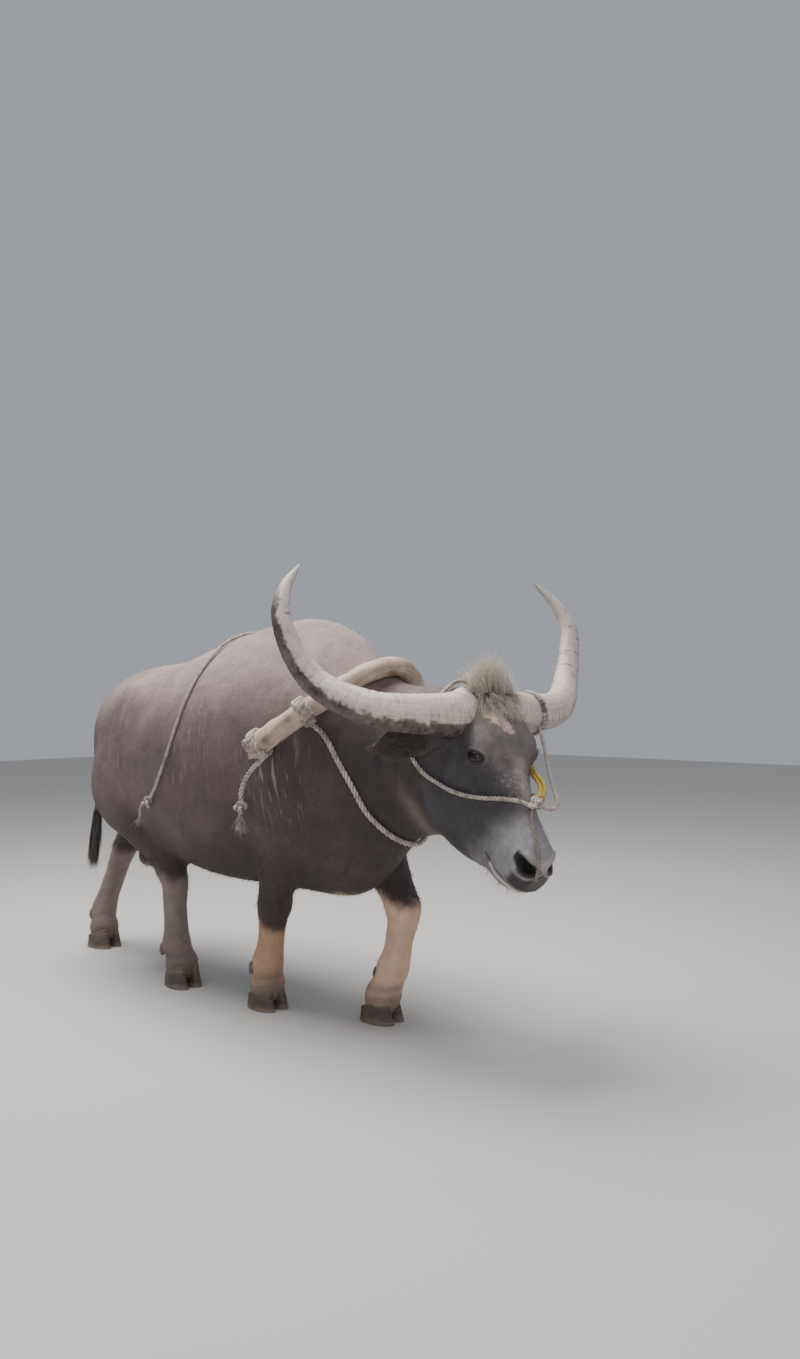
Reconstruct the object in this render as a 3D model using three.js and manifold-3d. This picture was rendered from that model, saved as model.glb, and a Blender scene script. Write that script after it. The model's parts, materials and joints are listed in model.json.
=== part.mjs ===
// A life-size water buffalo bull, walking, with a wooden neck yoke, a rope halter and a back rope.
// Millimetres. +X is forward, +Y is the animal's left, +Z is up, and the floor is z = 0.
import * as THREE from "three";
import { mergeVertices } from "three/addons/utils/BufferGeometryUtils.js";
import Module from "manifold-3d";

const wasm = await Module();
wasm.setup();

// Driving sizes
const withersHeight = 1380; // over the hump of the shoulders
const grown = withersHeight / 1380; // the tables below are for a bull of 1380 mm
const gap = 0.3; // left between two pieces that touch
const trunkSides = 26;
const headSides = 26;
const legSides = 12;
const trunkRings = 26;
const headRings = 27;
const legRings = 18;
const hornSides = 10;
const fine = 0.08; // slivers thinner than this are merged after the cuts

// Where the head stands: the poll, how far the nose points down, and how far it turns right
const poll = new THREE.Vector3(1205, -24, 1132);
const noseDown = 55.4;
const headTurn = -15.6;

const hornHalf = 66; // half the width of a horn at its base
const earLength = 235;
const earHalf = 58;
const eyeRadius = 23;
const clawLength = 132;
const clawWidth = 60;
const clawFront = 84; // height of a claw's wall at the toe
const clawHeel = 46; // and at the heel
const yokeHalf = 31; // half the thickness of the yoke's pole

// The places of the feet on the floor, with how far each toe turns out, in degrees
const feet = {
  left_fore: { x: 662, y: 78, toe: 4 },
  right_fore: { x: 258, y: -84, toe: -4 },
  left_hind: { x: -972, y: 26, toe: 5 },
  right_hind: { x: -196, y: -118, toe: -6 },
};

const unit = (degrees) => THREE.MathUtils.degToRad(degrees);
const point = (x, y, z) => new THREE.Vector3(x, y, z);
const count = (n) => [...Array(n).keys()];

// A smooth curve through the rows of a table, read at a value of their first column
function rowAt(rows, at) {
  let i = 0;
  while (i < rows.length - 2 && at > rows[i + 1][0]) i += 1;
  const here = rows[i];
  const next = rows[i + 1];
  const before = rows[Math.max(i - 1, 0)];
  const after = rows[Math.min(i + 2, rows.length - 1)];
  const span = next[0] - here[0];
  const t = (at - here[0]) / span;
  const late = t * t * (3 - 2 * t);
  return here.map((value, k) => {
    const leaving = ((next[k] - before[k]) / (next[0] - before[0])) * span;
    const coming = ((after[k] - value) / (after[0] - here[0])) * span;
    const bend = leaving * t * (1 - t) * (1 - t) - coming * t * t * (1 - t);
    return value * (1 - late) + next[k] * late + bend;
  });
}

// Values of a table's first column, as many to each stretch between two rows
function spread(rows, rings) {
  return count(rings).map((i) => {
    const at = (i / (rings - 1)) * (rows.length - 1);
    const k = Math.min(Math.floor(at), rows.length - 2);
    return rows[k][0] + (rows[k + 1][0] - rows[k][0]) * (at - k);
  });
}

// A closed solid from points and triangles, turned to face outwards
function solidOf(points, faces) {
  let volume = 0;
  for (const [a, b, c] of faces) {
    volume += points[a].dot(points[b].clone().cross(points[c]));
  }
  const turned = volume < 0 ? faces.map(([a, b, c]) => [a, c, b]) : faces;
  const vertProperties = new Float32Array(points.flatMap((p) => [p.x, p.y, p.z]));
  const triVerts = new Uint32Array(turned.flat());
  return new wasm.Manifold(new wasm.Mesh({ numProp: 3, vertProperties, triVerts }));
}

// The solid of a three.js geometry
function solidFrom(geometry, matrix = new THREE.Matrix4()) {
  const bare = geometry.clone().applyMatrix4(matrix);
  bare.deleteAttribute("normal");
  bare.deleteAttribute("uv");
  const merged = mergeVertices(bare, 1e-3);
  const place = merged.attributes.position;
  const points = count(place.count).map((i) => point(place.getX(i), place.getY(i), place.getZ(i)));
  const index = merged.index.array;
  const faces = count(index.length / 3).map((i) => [index[3 * i], index[3 * i + 1], index[3 * i + 2]]);
  return solidOf(points, faces.filter(([a, b, c]) => a !== b && b !== c && c !== a));
}

// Rings of points joined into a skin, with each end closed on its middle
function loft(rings) {
  const sides = rings[0].length;
  const points = rings.flat();
  const faces = [];
  for (let i = 0; i < rings.length - 1; i += 1) {
    for (let j = 0; j < sides; j += 1) {
      const a = i * sides + j;
      const b = i * sides + ((j + 1) % sides);
      const c = b + sides;
      const d = a + sides;
      if (points[a].distanceTo(points[c]) < points[b].distanceTo(points[d])) {
        faces.push([a, b, c], [a, c, d]);
      } else {
        faces.push([a, b, d], [b, c, d]);
      }
    }
  }
  for (const [first, turn] of [[0, 1], [(rings.length - 1) * sides, -1]]) {
    const middle = point(0, 0, 0);
    for (let j = 0; j < sides; j += 1) middle.addScaledVector(points[first + j], 1 / sides);
    points.push(middle);
    for (let j = 0; j < sides; j += 1) {
      const a = first + j;
      const b = first + ((j + 1) % sides);
      faces.push(turn > 0 ? [b, a, points.length - 1] : [a, b, points.length - 1]);
    }
  }
  return solidOf(points, faces);
}

const rounded = (value, power) => Math.sign(value) * Math.abs(value) ** (2 / power);

// Soft swellings and hollows: [x, y, z, reach in x, y and z, how far out], each on both sides
function swell(place, middle, swellings) {
  const outward = place.clone().sub(middle).normalize();
  let out = 0;
  for (const [x, y, z, reachX, reachY, reachZ, high] of swellings) {
    for (const side of y === 0 ? [1] : [1, -1]) {
      const dx = (place.x - x) / reachX;
      const dy = (place.y - y * side) / reachY;
      const dz = (place.z - z) / reachZ;
      out += high * Math.exp(-(dx * dx + dy * dy + dz * dz));
    }
  }
  return place.addScaledVector(outward, out);
}

// A ring round the trunk or the head, from one row: its place in the table, the top point x z, the
// bottom point x z, half the width, the shift to the left, the turn, how much narrower the top and
// the bottom are, and the power of its rounding
function bodyRing(row, sides, swellings, more = 0) {
  const [, topX, topZ, lowX, lowZ, half, shift, turn, narrowTop, narrowLow, power] = row;
  const middle = point((topX + lowX) / 2, shift, (topZ + lowZ) / 2);
  const lean = (topX - lowX) / 2;
  const up = point(lean * Math.cos(unit(turn)), lean * Math.sin(unit(turn)), (topZ - lowZ) / 2);
  up.setLength(up.length() + more);
  const left = point(-Math.sin(unit(turn)), Math.cos(unit(turn)), 0);
  return count(sides).map((j) => {
    const c = Math.cos((2 * Math.PI * j) / sides);
    const s = Math.sin((2 * Math.PI * j) / sides);
    const narrow = 1 - narrowTop * Math.max(s, 0) ** 2 - narrowLow * ((1 - s) / 2) ** 1.5;
    const place = middle
      .clone()
      .addScaledVector(left, (half * narrow + more) * rounded(c, power))
      .addScaledVector(up, rounded(s, power));
    return swell(place, middle, swellings);
  });
}

function bodyLoft(rows, rings, sides, swellings, more = 0) {
  return loft(spread(rows, rings).map((at) => bodyRing(rowAt(rows, at), sides, swellings, more)));
}

// A ring of a limb at a place on its path of [x, y, z], with a profile of [place on the path, half
// the depth fore and aft, half the width, shift forwards], grown all round by more
function limbRing(path, profile, t, sides, more = 0, power = 2.2) {
  const track = path.map(([x, y, z], i) => [i, x, y, z]);
  const along = (at) => point(...rowAt(track, at).slice(1));
  const first = profile[0][0];
  const last = profile[profile.length - 1][0];
  const [, depth, width, ahead] = rowAt(profile, t);
  const step = 0.02;
  const down = along(Math.min(t + step, last)).sub(along(Math.max(t - step, first))).normalize();
  const fore = point(1, 0, 0).addScaledVector(down, -down.x).normalize();
  const side = down.clone().cross(fore);
  const middle = along(t).addScaledVector(fore, ahead);
  if (t === first) middle.addScaledVector(down, -more);
  if (t === last) middle.addScaledVector(down, more);
  return count(sides).map((j) => {
    const c = Math.cos((2 * Math.PI * j) / sides);
    const s = Math.sin((2 * Math.PI * j) / sides);
    return middle
      .clone()
      .addScaledVector(fore, (depth + more) * rounded(c, power))
      .addScaledVector(side, (width + more) * rounded(s, power));
  });
}

function limb(path, profile, rings, sides, more = 0, power = 2.2) {
  return loft(spread(profile, rings).map((t) => limbRing(path, profile, t, sides, more, power)));
}

// A band of rope wound round a limb or a horn, before its core is cut out
function band(ringAt, at, half, thick) {
  const edges = [[-half, 1], [-0.6 * half, thick], [0.6 * half, thick], [half, 1]];
  return loft(edges.map(([step, more]) => ringAt(at + step, more)));
}

// The largest closed body of a solid that a cut has parted
function largest(solid) {
  const pieces = solid.decompose();
  return pieces.reduce((best, piece) => (piece.volume() > best.volume() ? piece : best));
}

// A round bar or rope along a path of points
function bar(path, radius, steps, sides = 8) {
  const curve = new THREE.CatmullRomCurve3(path.map((p) => point(...p)), false, "centripetal");
  const section = new THREE.Shape(
    count(sides).map((j) => {
      const angle = (2 * Math.PI * j) / sides;
      return new THREE.Vector2(radius * Math.cos(angle), radius * Math.sin(angle));
    }),
  );
  return solidFrom(new THREE.ExtrudeGeometry(section, { steps, extrudePath: curve, curveSegments: 1 }));
}

const moved = (solid, matrix) => solid.transform(matrix.elements);

// Trunk: rump, barrel, hump, chest and neck in one form, parted later
const trunkRows = [
  [0, -806, 1010, -806, 930, 46, 0, 0, 0.2, 0.1, 2.1],
  [1, -784, 1086, -776, 815, 118, 0, 0, 0.22, 0.12, 2.1],
  [2, -728, 1152, -716, 700, 190, 0, 0, 0.24, 0.14, 2.15],
  [3, -640, 1200, -640, 612, 244, 0, 0, 0.25, 0.14, 2.2],
  [4, -480, 1228, -480, 540, 286, 0, 0, 0.24, 0.12, 2.3],
  [5, -250, 1246, -250, 470, 326, 0, 0, 0.22, 0.08, 2.3],
  [6, 0, 1312, 0, 430, 352, 0, 0, 0.26, 0.08, 2.25],
  [7, 227, 1364, 227, 425, 338, 0, 0, 0.32, 0.14, 2.2],
  [8, 430, 1380, 430, 425, 302, 0, 0, 0.34, 0.22, 2.15],
  [9, 575, 1336, 590, 432, 284, 0, 0, 0.34, 0.3, 2.15],
  [10, 682, 1258, 715, 486, 250, 0, -1, 0.34, 0.3, 2.1],
  [11, 766, 1180, 790, 566, 212, -1, -3, 0.32, 0.26, 2.1],
  [12, 855, 1146, 864, 632, 178, -4, -6, 0.3, 0.26, 2.1],
  [13, 965, 1138, 956, 660, 150, -10, -10, 0.3, 0.26, 2.15],
  [14, 1080, 1138, 1034, 676, 128, -22, -14, 0.25, 0.26, 2.2],
  [15, 1165, 1118, 1092, 724, 104, -36, -15.6, 0.2, 0.3, 2.2],
];
const trunkSwellings = [
  [-430, 235, 1130, 70, 70, 60, 26],
  [-745, 95, 1050, 60, 50, 55, 16],
  [-300, 300, 1010, 110, 90, 120, -26],
  [520, 250, 900, 130, 120, 240, 22],
  [700, 190, 790, 75, 80, 80, 24],
  [330, 300, 720, 60, 120, 150, -16],
  [120, 330, 760, 190, 90, 190, 10],
  [-130, 0, 450, 130, 60, 60, 14],
  [640, 0, 470, 110, 70, 70, 14],
  [800, 0, 640, 60, 60, 90, 12],
];
const trunk = bodyLoft(trunkRows, trunkRings, trunkSides, trunkSwellings).simplify(0.6);

// Head, in its own frame: x runs down the face from the poll, z stands out of the forehead
const headRows = [
  [0, -52, -60, -30, -170, 52, 0, 0, 0.1, 0.2, 2.2],
  [1, -30, -8, 8, -270, 98, 0, 0, 0.1, 0.24, 2.3],
  [2, 18, 18, 56, -362, 122, 0, 0, 0.1, 0.3, 2.5],
  [3, 82, 26, 116, -420, 132, 0, 0, 0.12, 0.36, 2.7],
  [4, 144, 23, 182, -446, 135, 0, 0, 0.14, 0.4, 2.8],
  [5, 204, 12, 248, -444, 128, 0, 0, 0.18, 0.4, 2.7],
  [6, 262, -4, 310, -420, 106, 0, 0, 0.32, 0.32, 2.4],
  [7, 320, -18, 368, -382, 86, 0, 0, 0.42, 0.22, 2.3],
  [8, 378, -30, 422, -334, 72, 0, 0, 0.44, 0.1, 2.3],
  [9, 434, -40, 470, -292, 67, 0, 0, 0.4, 0.04, 2.4],
  [10, 486, -49, 514, -262, 69, 0, 0, 0.28, 0.04, 2.5],
  [11, 528, -62, 546, -236, 67, 0, 0, 0.22, 0.08, 2.5],
  [12, 560, -86, 574, -208, 54, 0, 0, 0.18, 0.12, 2.4],
  [13, 578, -112, 588, -176, 33, 0, 0, 0.1, 0.1, 2.2],
];
const headSwellings = [
  [196, 116, -36, 52, 46, 40, 27],
  [272, 92, -130, 80, 40, 30, 9],
  [206, 96, -312, 84, 60, 90, 14],
  [384, 72, -240, 46, 50, 50, -5],
  [112, 128, -104, 42, 40, 40, -9],
  [522, 54, -88, 32, 28, 28, 9],
  [500, 70, -204, 36, 30, 26, 7],
  [440, 0, -290, 44, 44, 30, -8],
];
const headPlace = new THREE.Matrix4()
  .makeRotationZ(unit(headTurn))
  .multiply(new THREE.Matrix4().makeRotationY(unit(noseDown)))
  .setPosition(poll);
const fromHead = headPlace.clone().invert();

// Horns: a sweep from the side of the poll, out and back, then up and in to the tip
const hornPath = [
  [34, 66, -42],
  [56, 116, -52],
  [40, 214, -76],
  [4, 330, -110],
  [-58, 420, -140],
  [-136, 486, -160],
  [-228, 534, -144],
  [-328, 560, -108],
  [-424, 530, -88],
  [-512, 462, -78],
];
const hornProfile = [
  [0, 60, 46],
  [1, 66, 50],
  [2, 60, 45],
  [3, 55, 41],
  [4, 49, 37],
  [5, 43, 33],
  [6, 37, 29],
  [7, 30, 24],
  [8, 20, 17],
  [8.6, 11, 10],
  [9, 3, 3],
];

// A horn's rings lie across its path, wide in the plane of the face and flat in front
function hornRing(side, t, more = 0) {
  const track = hornPath.map(([x, y, z], i) => [i, x, y * side, z]);
  const along = (at) => point(...rowAt(track, at).slice(1));
  const [, half, thick] = rowAt(hornProfile, t);
  const way = along(Math.min(t + 0.05, 9)).sub(along(Math.max(t - 0.05, 0))).normalize();
  const front = point(0.25, 0, 1).addScaledVector(way, -point(0.25, 0, 1).dot(way)).normalize();
  const broad = way.clone().cross(front);
  const middle = along(t).addScaledVector(way, t === 0 ? -more : 0);
  return count(hornSides).map((j) => {
    const c = Math.cos((2 * Math.PI * j) / hornSides);
    const s = Math.sin((2 * Math.PI * j) / hornSides);
    const wide = ((half * hornHalf) / 66 + more) * rounded(c, 2.4) * (1 - 0.12 * s);
    return middle
      .clone()
      .addScaledVector(broad, wide)
      .addScaledVector(front, (thick + more) * rounded(s, 2.4));
  });
}

const horn = (side, more = 0) => loft(spread(hornProfile, 18).map((t) => hornRing(side, t, more)));

// Eyes, in the head's frame
const eyePlace = [206, 97, -60];
const eye = (side, more = 0) =>
  solidFrom(
    new THREE.SphereGeometry(eyeRadius + more, 12, 7),
    new THREE.Matrix4().makeTranslation(eyePlace[0], eyePlace[1] * side, eyePlace[2]),
  );

// A lid is a bent bar over or under the eye, from the inner corner to the outer one
function lid(side, height) {
  const out = point(0.2, side, 0.28).normalize();
  const along = point(0.76, 0, 0.65);
  along.addScaledVector(out, -along.dot(out)).normalize();
  const up = out.clone().cross(along).multiplyScalar(-side).normalize();
  const path = count(7).map((i) => {
    const angle = Math.PI * (i / 6);
    const across = -Math.cos(angle) * (eyeRadius + 7);
    const rise = Math.sin(angle) * height;
    const bulge = 9 + Math.sin(angle) * 9;
    const place = point(eyePlace[0], eyePlace[1] * side, eyePlace[2])
      .addScaledVector(along, across)
      .addScaledVector(up, rise)
      .addScaledVector(out, bulge);
    return [place.x, place.y, place.z];
  });
  return bar(path, 7, 6, 5);
}

// Ears: a leaf cupped forwards, rolled into a stalk at its root
const earRoot = point(92, 106, -132);
const earWay = point(-0.3, 0.86, -0.42).normalize();
const earRows = [
  [0, 26, 24, -22],
  [0.12, 30, 27, -20],
  [0.26, 44, 32, 6],
  [0.45, 57, 34, 24],
  [0.65, 56, 28, 21],
  [0.84, 38, 18, 12],
  [0.95, 18, 9, 4],
  [1, 6, 4, 0],
];

function ear(side, more = 0) {
  const way = point(earWay.x, earWay.y * side, earWay.z);
  const back = point(-0.55, -0.25 * side, -0.75).addScaledVector(way, 0);
  back.addScaledVector(way, -back.dot(way)).normalize();
  const across = way.clone().cross(back);
  const arc = 8;
  return loft(
    spread(earRows, 9).map((t) => {
      const [, wide, deep, hollow] = rowAt(earRows, t);
      const droop = -34 * t * t;
      const middle = point(earRoot.x, earRoot.y * side, earRoot.z)
        .addScaledVector(way, earLength * t - (t === 0 ? more : 0))
        .add(point(-droop * 0.8, 0, droop * 0.6));
      const half = (wide * earHalf) / 58 + more;
      const outer = count(arc).map((j) => {
        const angle = Math.PI * (j / (arc - 1) - 0.5);
        return middle
          .clone()
          .addScaledVector(across, half * Math.sin(angle))
          .addScaledVector(back, (deep + more) * Math.cos(angle));
      });
      const inner = count(arc - 2).map((j) => {
        const angle = Math.PI * (0.5 - (j + 1) / (arc - 1));
        return middle
          .clone()
          .addScaledVector(across, (half - 4 * Math.cos(angle)) * Math.sin(angle))
          .addScaledVector(back, (hollow - more) * Math.cos(angle));
      });
      return [...outer, ...inner];
    }),
  );
}

// The muzzle's openings: a nostril on each side and the line between the lips
function nostril(side) {
  const along = point(14, -40 * side, -16).normalize();
  const out = point(0.6, 0.6 * side, 0.5);
  out.addScaledVector(along, -out.dot(along)).normalize();
  const place = new THREE.Matrix4()
    .makeBasis(along, out.clone().cross(along), out)
    .multiply(new THREE.Matrix4().makeScale(31, 14, 24))
    .setPosition(550, 51 * side, -97);
  return solidFrom(new THREE.SphereGeometry(1, 10, 6), place);
}
const mouthLine = [
  [436, -224],
  [460, -218],
  [492, -208],
  [530, -194],
  [600, -182],
];
const mouthOpen = 3.5;
const mouthShape = new THREE.Shape([
  ...mouthLine.map(([x, z]) => new THREE.Vector2(x, z)),
  ...mouthLine
    .slice(1)
    .reverse()
    .map(([x, z]) => new THREE.Vector2(x, z - mouthOpen)),
]);
const mouth = solidFrom(
  new THREE.ExtrudeGeometry(mouthShape, { depth: 240, bevelEnabled: false }),
  new THREE.Matrix4().makeRotationX(Math.PI / 2).setPosition(0, 120, 0),
);

// The same draw each time, from 0 to 1
function drawing(seed) {
  let state = seed;
  return () => {
    state = (state * 1664525 + 1013904223) % 4294967296;
    return state / 4294967296;
  };
}

// A flat lock of hair: its root, its way and length, the way it bends to, and half its width
function lock({ root, way, length, bend, half, thick }, more = 0) {
  const across = way.clone().cross(bend).normalize();
  const face = across.clone().cross(way).normalize();
  return loft(
    [0, 0.34, 0.7, 1].map((t) => {
      const middle = root
        .clone()
        .addScaledVector(way, length * t + (t === 0 ? -more : 0) + (t === 1 ? more : 0))
        .addScaledVector(bend, length * t * t);
      const wide = half * (1 - 0.9 * t ** 2.2) + more;
      const deep = thick * (1 - 0.8 * t) + more;
      return [[1, 0], [0, 1], [-1, 0], [0, -1]].map(([u, v]) =>
        middle.clone().addScaledVector(across, wide * u).addScaledVector(face, deep * v),
      );
    }),
  );
}

const joined = (solids) => solids.reduce((all, one) => all.add(one));

// The tuft of the poll: a low core between the horns, and locks that stand up from it and lean out
const tuftHeight = 100; // above the poll
const tuftLocks = 18;
const upright = point(-0.823, 0, 0.568); // straight up, in the head's frame
const tuftPath = [
  [62, -6, -12],
  [22, -8, 8],
  [-14, -10, 26],
  [-44, -12, 36],
];
const tuftProfile = [
  [0, 34, 50, 0],
  [1, 40, 56, 0],
  [2, 30, 44, 0],
  [3, 6, 10, 0],
];
const tuftDraw = drawing(11);
const tuftLockForms = count(tuftLocks).map((i) => {
  const angle = i * 2.4;
  const out = Math.sqrt((i + 0.5) / tuftLocks);
  const lean = point(0.568, 0, 0.823).multiplyScalar(Math.cos(angle) * out);
  lean.y = Math.sin(angle) * out;
  const way = upright.clone().addScaledVector(lean, 0.42 + 0.2 * tuftDraw()).normalize();
  const root = point(16, -9, 4).addScaledVector(lean, 1).add(point(30 * lean.x, 46 * lean.y, 18 * lean.z));
  const length = (tuftHeight - 4) * (1 - 0.3 * out * out) * (0.86 + 0.2 * tuftDraw());
  const bend = lean.clone().multiplyScalar(0.22 + 0.3 * tuftDraw()).add(point(0.04, 0.06, 0));
  return { root, way, length, bend, half: 15 + 5 * tuftDraw(), thick: 4.5 };
});
function forelock(more = 0) {
  const core = limb(tuftPath, tuftProfile, 6, 10, more);
  return joined([core, ...tuftLockForms.map((form) => lock(form, more))]);
}

// Legs
const legs = {
  left_fore: {
    path: [[490, 140, 860], [515, 150, 690], [618, 150, 520], [724, 118, 378], [722, 104, 280],
      [706, 94, 186], [672, 80, 92], [656, 78, 28]],
    hind: false,
  },
  right_fore: {
    path: [[470, -140, 860], [452, -150, 690], [392, -142, 520], [336, -122, 378], [308, -108, 275],
      [278, -96, 168], [260, -86, 88], [252, -84, 28]],
    hind: false,
  },
  left_hind: {
    path: [[-520, 160, 1000], [-566, 196, 770], [-710, 156, 612], [-874, 92, 474], [-944, 62, 310],
      [-992, 40, 160], [-980, 30, 88], [-974, 26, 28]],
    hind: true,
  },
  right_hind: {
    path: [[-500, -160, 1000], [-440, -204, 770], [-330, -190, 600], [-244, -134, 436], [-236, -126, 296],
      [-226, -122, 158], [-204, -119, 88], [-198, -118, 28]],
    hind: true,
  },
};
const foreProfile = [
  [0, 90, 60, 0],
  [1, 128, 88, 0],
  [2, 84, 66, 0],
  [2.6, 64, 55, 0],
  [3, 64, 58, 4],
  [3.4, 54, 50, 0],
  [4, 48, 45, 0],
  [4.6, 50, 47, 0],
  [5, 58, 54, -4],
  [5.5, 50, 53, 0],
  [6, 62, 64, 0],
  [7, 46, 48, 0],
];
const hindProfile = [
  [0, 120, 80, 0],
  [1, 200, 100, 0],
  [2, 124, 72, 0],
  [2.6, 82, 52, 0],
  [3, 70, 50, -8],
  [3.4, 56, 46, 0],
  [4, 46, 43, 0],
  [4.6, 48, 45, 0],
  [5, 58, 52, -4],
  [5.5, 50, 52, 0],
  [6, 61, 63, 0],
  [7, 46, 48, 0],
];

const footPlace = ({ x, y, toe }) => new THREE.Matrix4().makeRotationZ(unit(toe)).setPosition(x, y, 0);

// A claw in its foot's frame: its flat sole on the floor, its wall leaning back from the toe
function claw(side, more = 0) {
  const middle = side * (clawWidth / 2 + 2);
  return loft(
    [0, 0.5, 1].map((up) => {
      const long = (clawLength / 2) * (1 - 0.2 * up) + more;
      const wide = (clawWidth / 2) * (1 - 0.1 * up) + more;
      const back = -10 * up;
      return count(12).map((j) => {
        const c = Math.cos((2 * Math.PI * j) / 12);
        const s = Math.sin((2 * Math.PI * j) / 12);
        const toeIn = c > 0 ? 1 - 0.22 * c * c : 1;
        const height = (clawFront + clawHeel) / 2 + ((clawFront - clawHeel) / 2) * c;
        return point(
          back + long * rounded(c, 2.3) + 6,
          middle + wide * toeIn * rounded(s, 2.3) - side * 5 * Math.max(c, 0) ** 2,
          up * (height + more),
        );
      });
    }),
  );
}

// A dewclaw: a blunt cone behind the fetlock, pointing down and back
const dewclawLine = [[0, -26], [16, -18], [17, 4], [9, 24], [0, 28]];
function dewclaw(leg, side, more = 0) {
  const [x, y, z] = legs[leg].path[5];
  const profile = dewclawLine.map(([r, h]) => {
    const wide = r === 0 ? 0 : r + more;
    return new THREE.Vector2(wide, h + more * Math.sign(h));
  });
  const place = new THREE.Matrix4()
    .makeTranslation(x - 50, y + side * 29, z - 26)
    .multiply(new THREE.Matrix4().makeRotationY(unit(-158)))
    .multiply(new THREE.Matrix4().makeScale(1, 0.85, 1))
    .multiply(new THREE.Matrix4().makeRotationX(Math.PI / 2));
  return solidFrom(new THREE.LatheGeometry(profile, 6), place);
}

// Tail: from the top of the rump down to a switch at the hock
const tailPath = [
  [-735, 0, 1100],
  [-800, -4, 1078],
  [-850, -14, 1000],
  [-866, -34, 860],
  [-868, -58, 720],
  [-866, -78, 600],
  [-866, -92, 500],
  [-866, -100, 400],
];
const tailProfile = [
  [0, 34, 36, 0],
  [1, 34, 36, 0],
  [2, 26, 26, 0],
  [3, 19, 19, 0],
  [4, 15, 15, 0],
  [5, 15, 15, 0],
  [5.8, 14, 14, 0],
  [6.3, 9, 9, 0],
  [6.5, 4, 4, 0],
];
const switchLocks = 12;
const switchDraw = drawing(5);
const switchForms = count(switchLocks).map((i) => {
  const angle = i * 2.4;
  const high = 640 - (150 * i) / switchLocks;
  const out = point(Math.cos(angle), Math.sin(angle), 0);
  const way = out.clone().multiplyScalar(0.1 + 0.06 * switchDraw()).add(point(0, -0.1, -1)).normalize();
  const root = point(-866, -72 - (640 - high) * 0.13, high).addScaledVector(out, 8);
  const bend = out.clone().multiplyScalar(-0.06 - 0.05 * switchDraw()).add(point(0.02, 0, 0));
  const length = Math.min(high - 372, 150 + 50 * switchDraw());
  return { root, way, length, bend, half: 12 + 3 * switchDraw(), thick: 4.5 };
});
const tail = (more = 0) =>
  joined([limb(tailPath, tailProfile, 15, 8, more), ...switchForms.map((form) => lock(form, more))]);

// The scrotum hangs between the thighs
const scrotum = limb(
  [[-560, -6, 640], [-556, -8, 520], [-548, -10, 440], [-546, -10, 400]],
  [[0, 50, 44, 0], [1, 54, 50, 0], [2, 58, 58, 0], [2.7, 38, 40, 0], [3, 8, 8, 0]],
  10,
  16,
);

// Whole body, then the cuts that part it
const headWhole = bodyLoft(headRows, headRings, headSides, headSwellings).simplify(0.4);
let headSolid = headWhole;
for (const side of [1, -1]) {
  headSolid = headSolid.add(lid(side, 15)).add(lid(side, -13));
}
headSolid = headSolid.subtract(mouth);
for (const side of [1, -1]) {
  headSolid = headSolid.subtract(nostril(side));
}

// The neck ends on a plane from behind the poll to behind the jaw, across the head's own frame
const nape = point(-6, 0, 10);
const napeNormal = point(0.92, 0, 0.39).normalize();
const chestX = 786; // the trunk ends and the neck begins
const neckLean = point(1, 0, 0.05).normalize();

const napeWorld = nape.clone().applyMatrix4(headPlace);
const napeWorldNormal = napeNormal.clone().transformDirection(headPlace);
const napeAt = napeWorld.dot(napeWorldNormal);
const chestAt = neckLean.dot(point(chestX, 0, 900));
const asArray = (v) => [v.x, v.y, v.z];
const backwards = (v) => v.clone().negate();

const whole = trunk.add(moved(headSolid, headPlace)).trimByPlane(asArray(neckLean), chestAt + gap);
const ahead = largest(whole.trimByPlane(asArray(napeWorldNormal), napeAt + gap));
const neckSolid = whole.trimByPlane(asArray(backwards(napeWorldNormal)), -napeAt);
let torsoSolid = trunk.trimByPlane(asArray(backwards(neckLean)), -chestAt).add(scrotum);

let headDone = moved(ahead, fromHead);
let neckDone = moved(neckSolid, fromHead);
for (const side of [1, -1]) {
  headDone = headDone.subtract(horn(side, gap)).subtract(ear(side, gap)).subtract(eye(side, gap));
  neckDone = neckDone.subtract(horn(side, gap)).subtract(ear(side, gap));
}
headDone = largest(headDone.add(forelock().subtract(horn(1, gap)).subtract(horn(-1, gap))));
neckDone = neckDone.subtract(forelock(4 * gap));
neckDone = largest(moved(neckDone, headPlace));

for (const leg of Object.keys(legs)) {
  const profile = legs[leg].hind ? hindProfile : foreProfile;
  torsoSolid = torsoSolid.subtract(limb(legs[leg].path, profile, legRings, legSides, gap));
}
torsoSolid = largest(torsoSolid.subtract(limb(tailPath, tailProfile, 15, 8, gap)));

// Yoke: a bent pole over the neck in front of the hump, its arms swept back along the shoulders
const yokePath = [
  [470, -338, 930],
  [540, -330, 972],
  [610, -300, 1022],
  [672, -250, 1078],
  [722, -190, 1128],
  [763, -111, 1178],
  [793, 0, 1205],
  [763, 111, 1178],
  [722, 190, 1128],
  [672, 250, 1078],
  [610, 300, 1022],
  [540, 330, 972],
  [470, 338, 930],
];
const yokeEnd = yokePath.length - 1;
const yokeProfile = [
  [0, 0.55, 0.5, 0],
  [0.16, 0.98, 0.9, 0],
  [0.6, 1.05, 1, 0],
  [2, 0.95, 0.98, 0],
  [6, 0.95, 0.9, 0],
  [10, 0.95, 0.98, 0],
  [11.4, 1, 1, 0],
  [11.84, 0.9, 0.9, 0],
  [12, 0.5, 0.5, 0],
].map(([t, depth, width, ahead]) => [t, depth * yokeHalf, width * yokeHalf, ahead]);
const yokeRing = (t, more) => limbRing(yokePath, yokeProfile, t, 10, more);
const yokePole = limb(yokePath, yokeProfile, 24, 10);
const yokeSocket = limb(yokePath, yokeProfile, 24, 10, gap);

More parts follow.
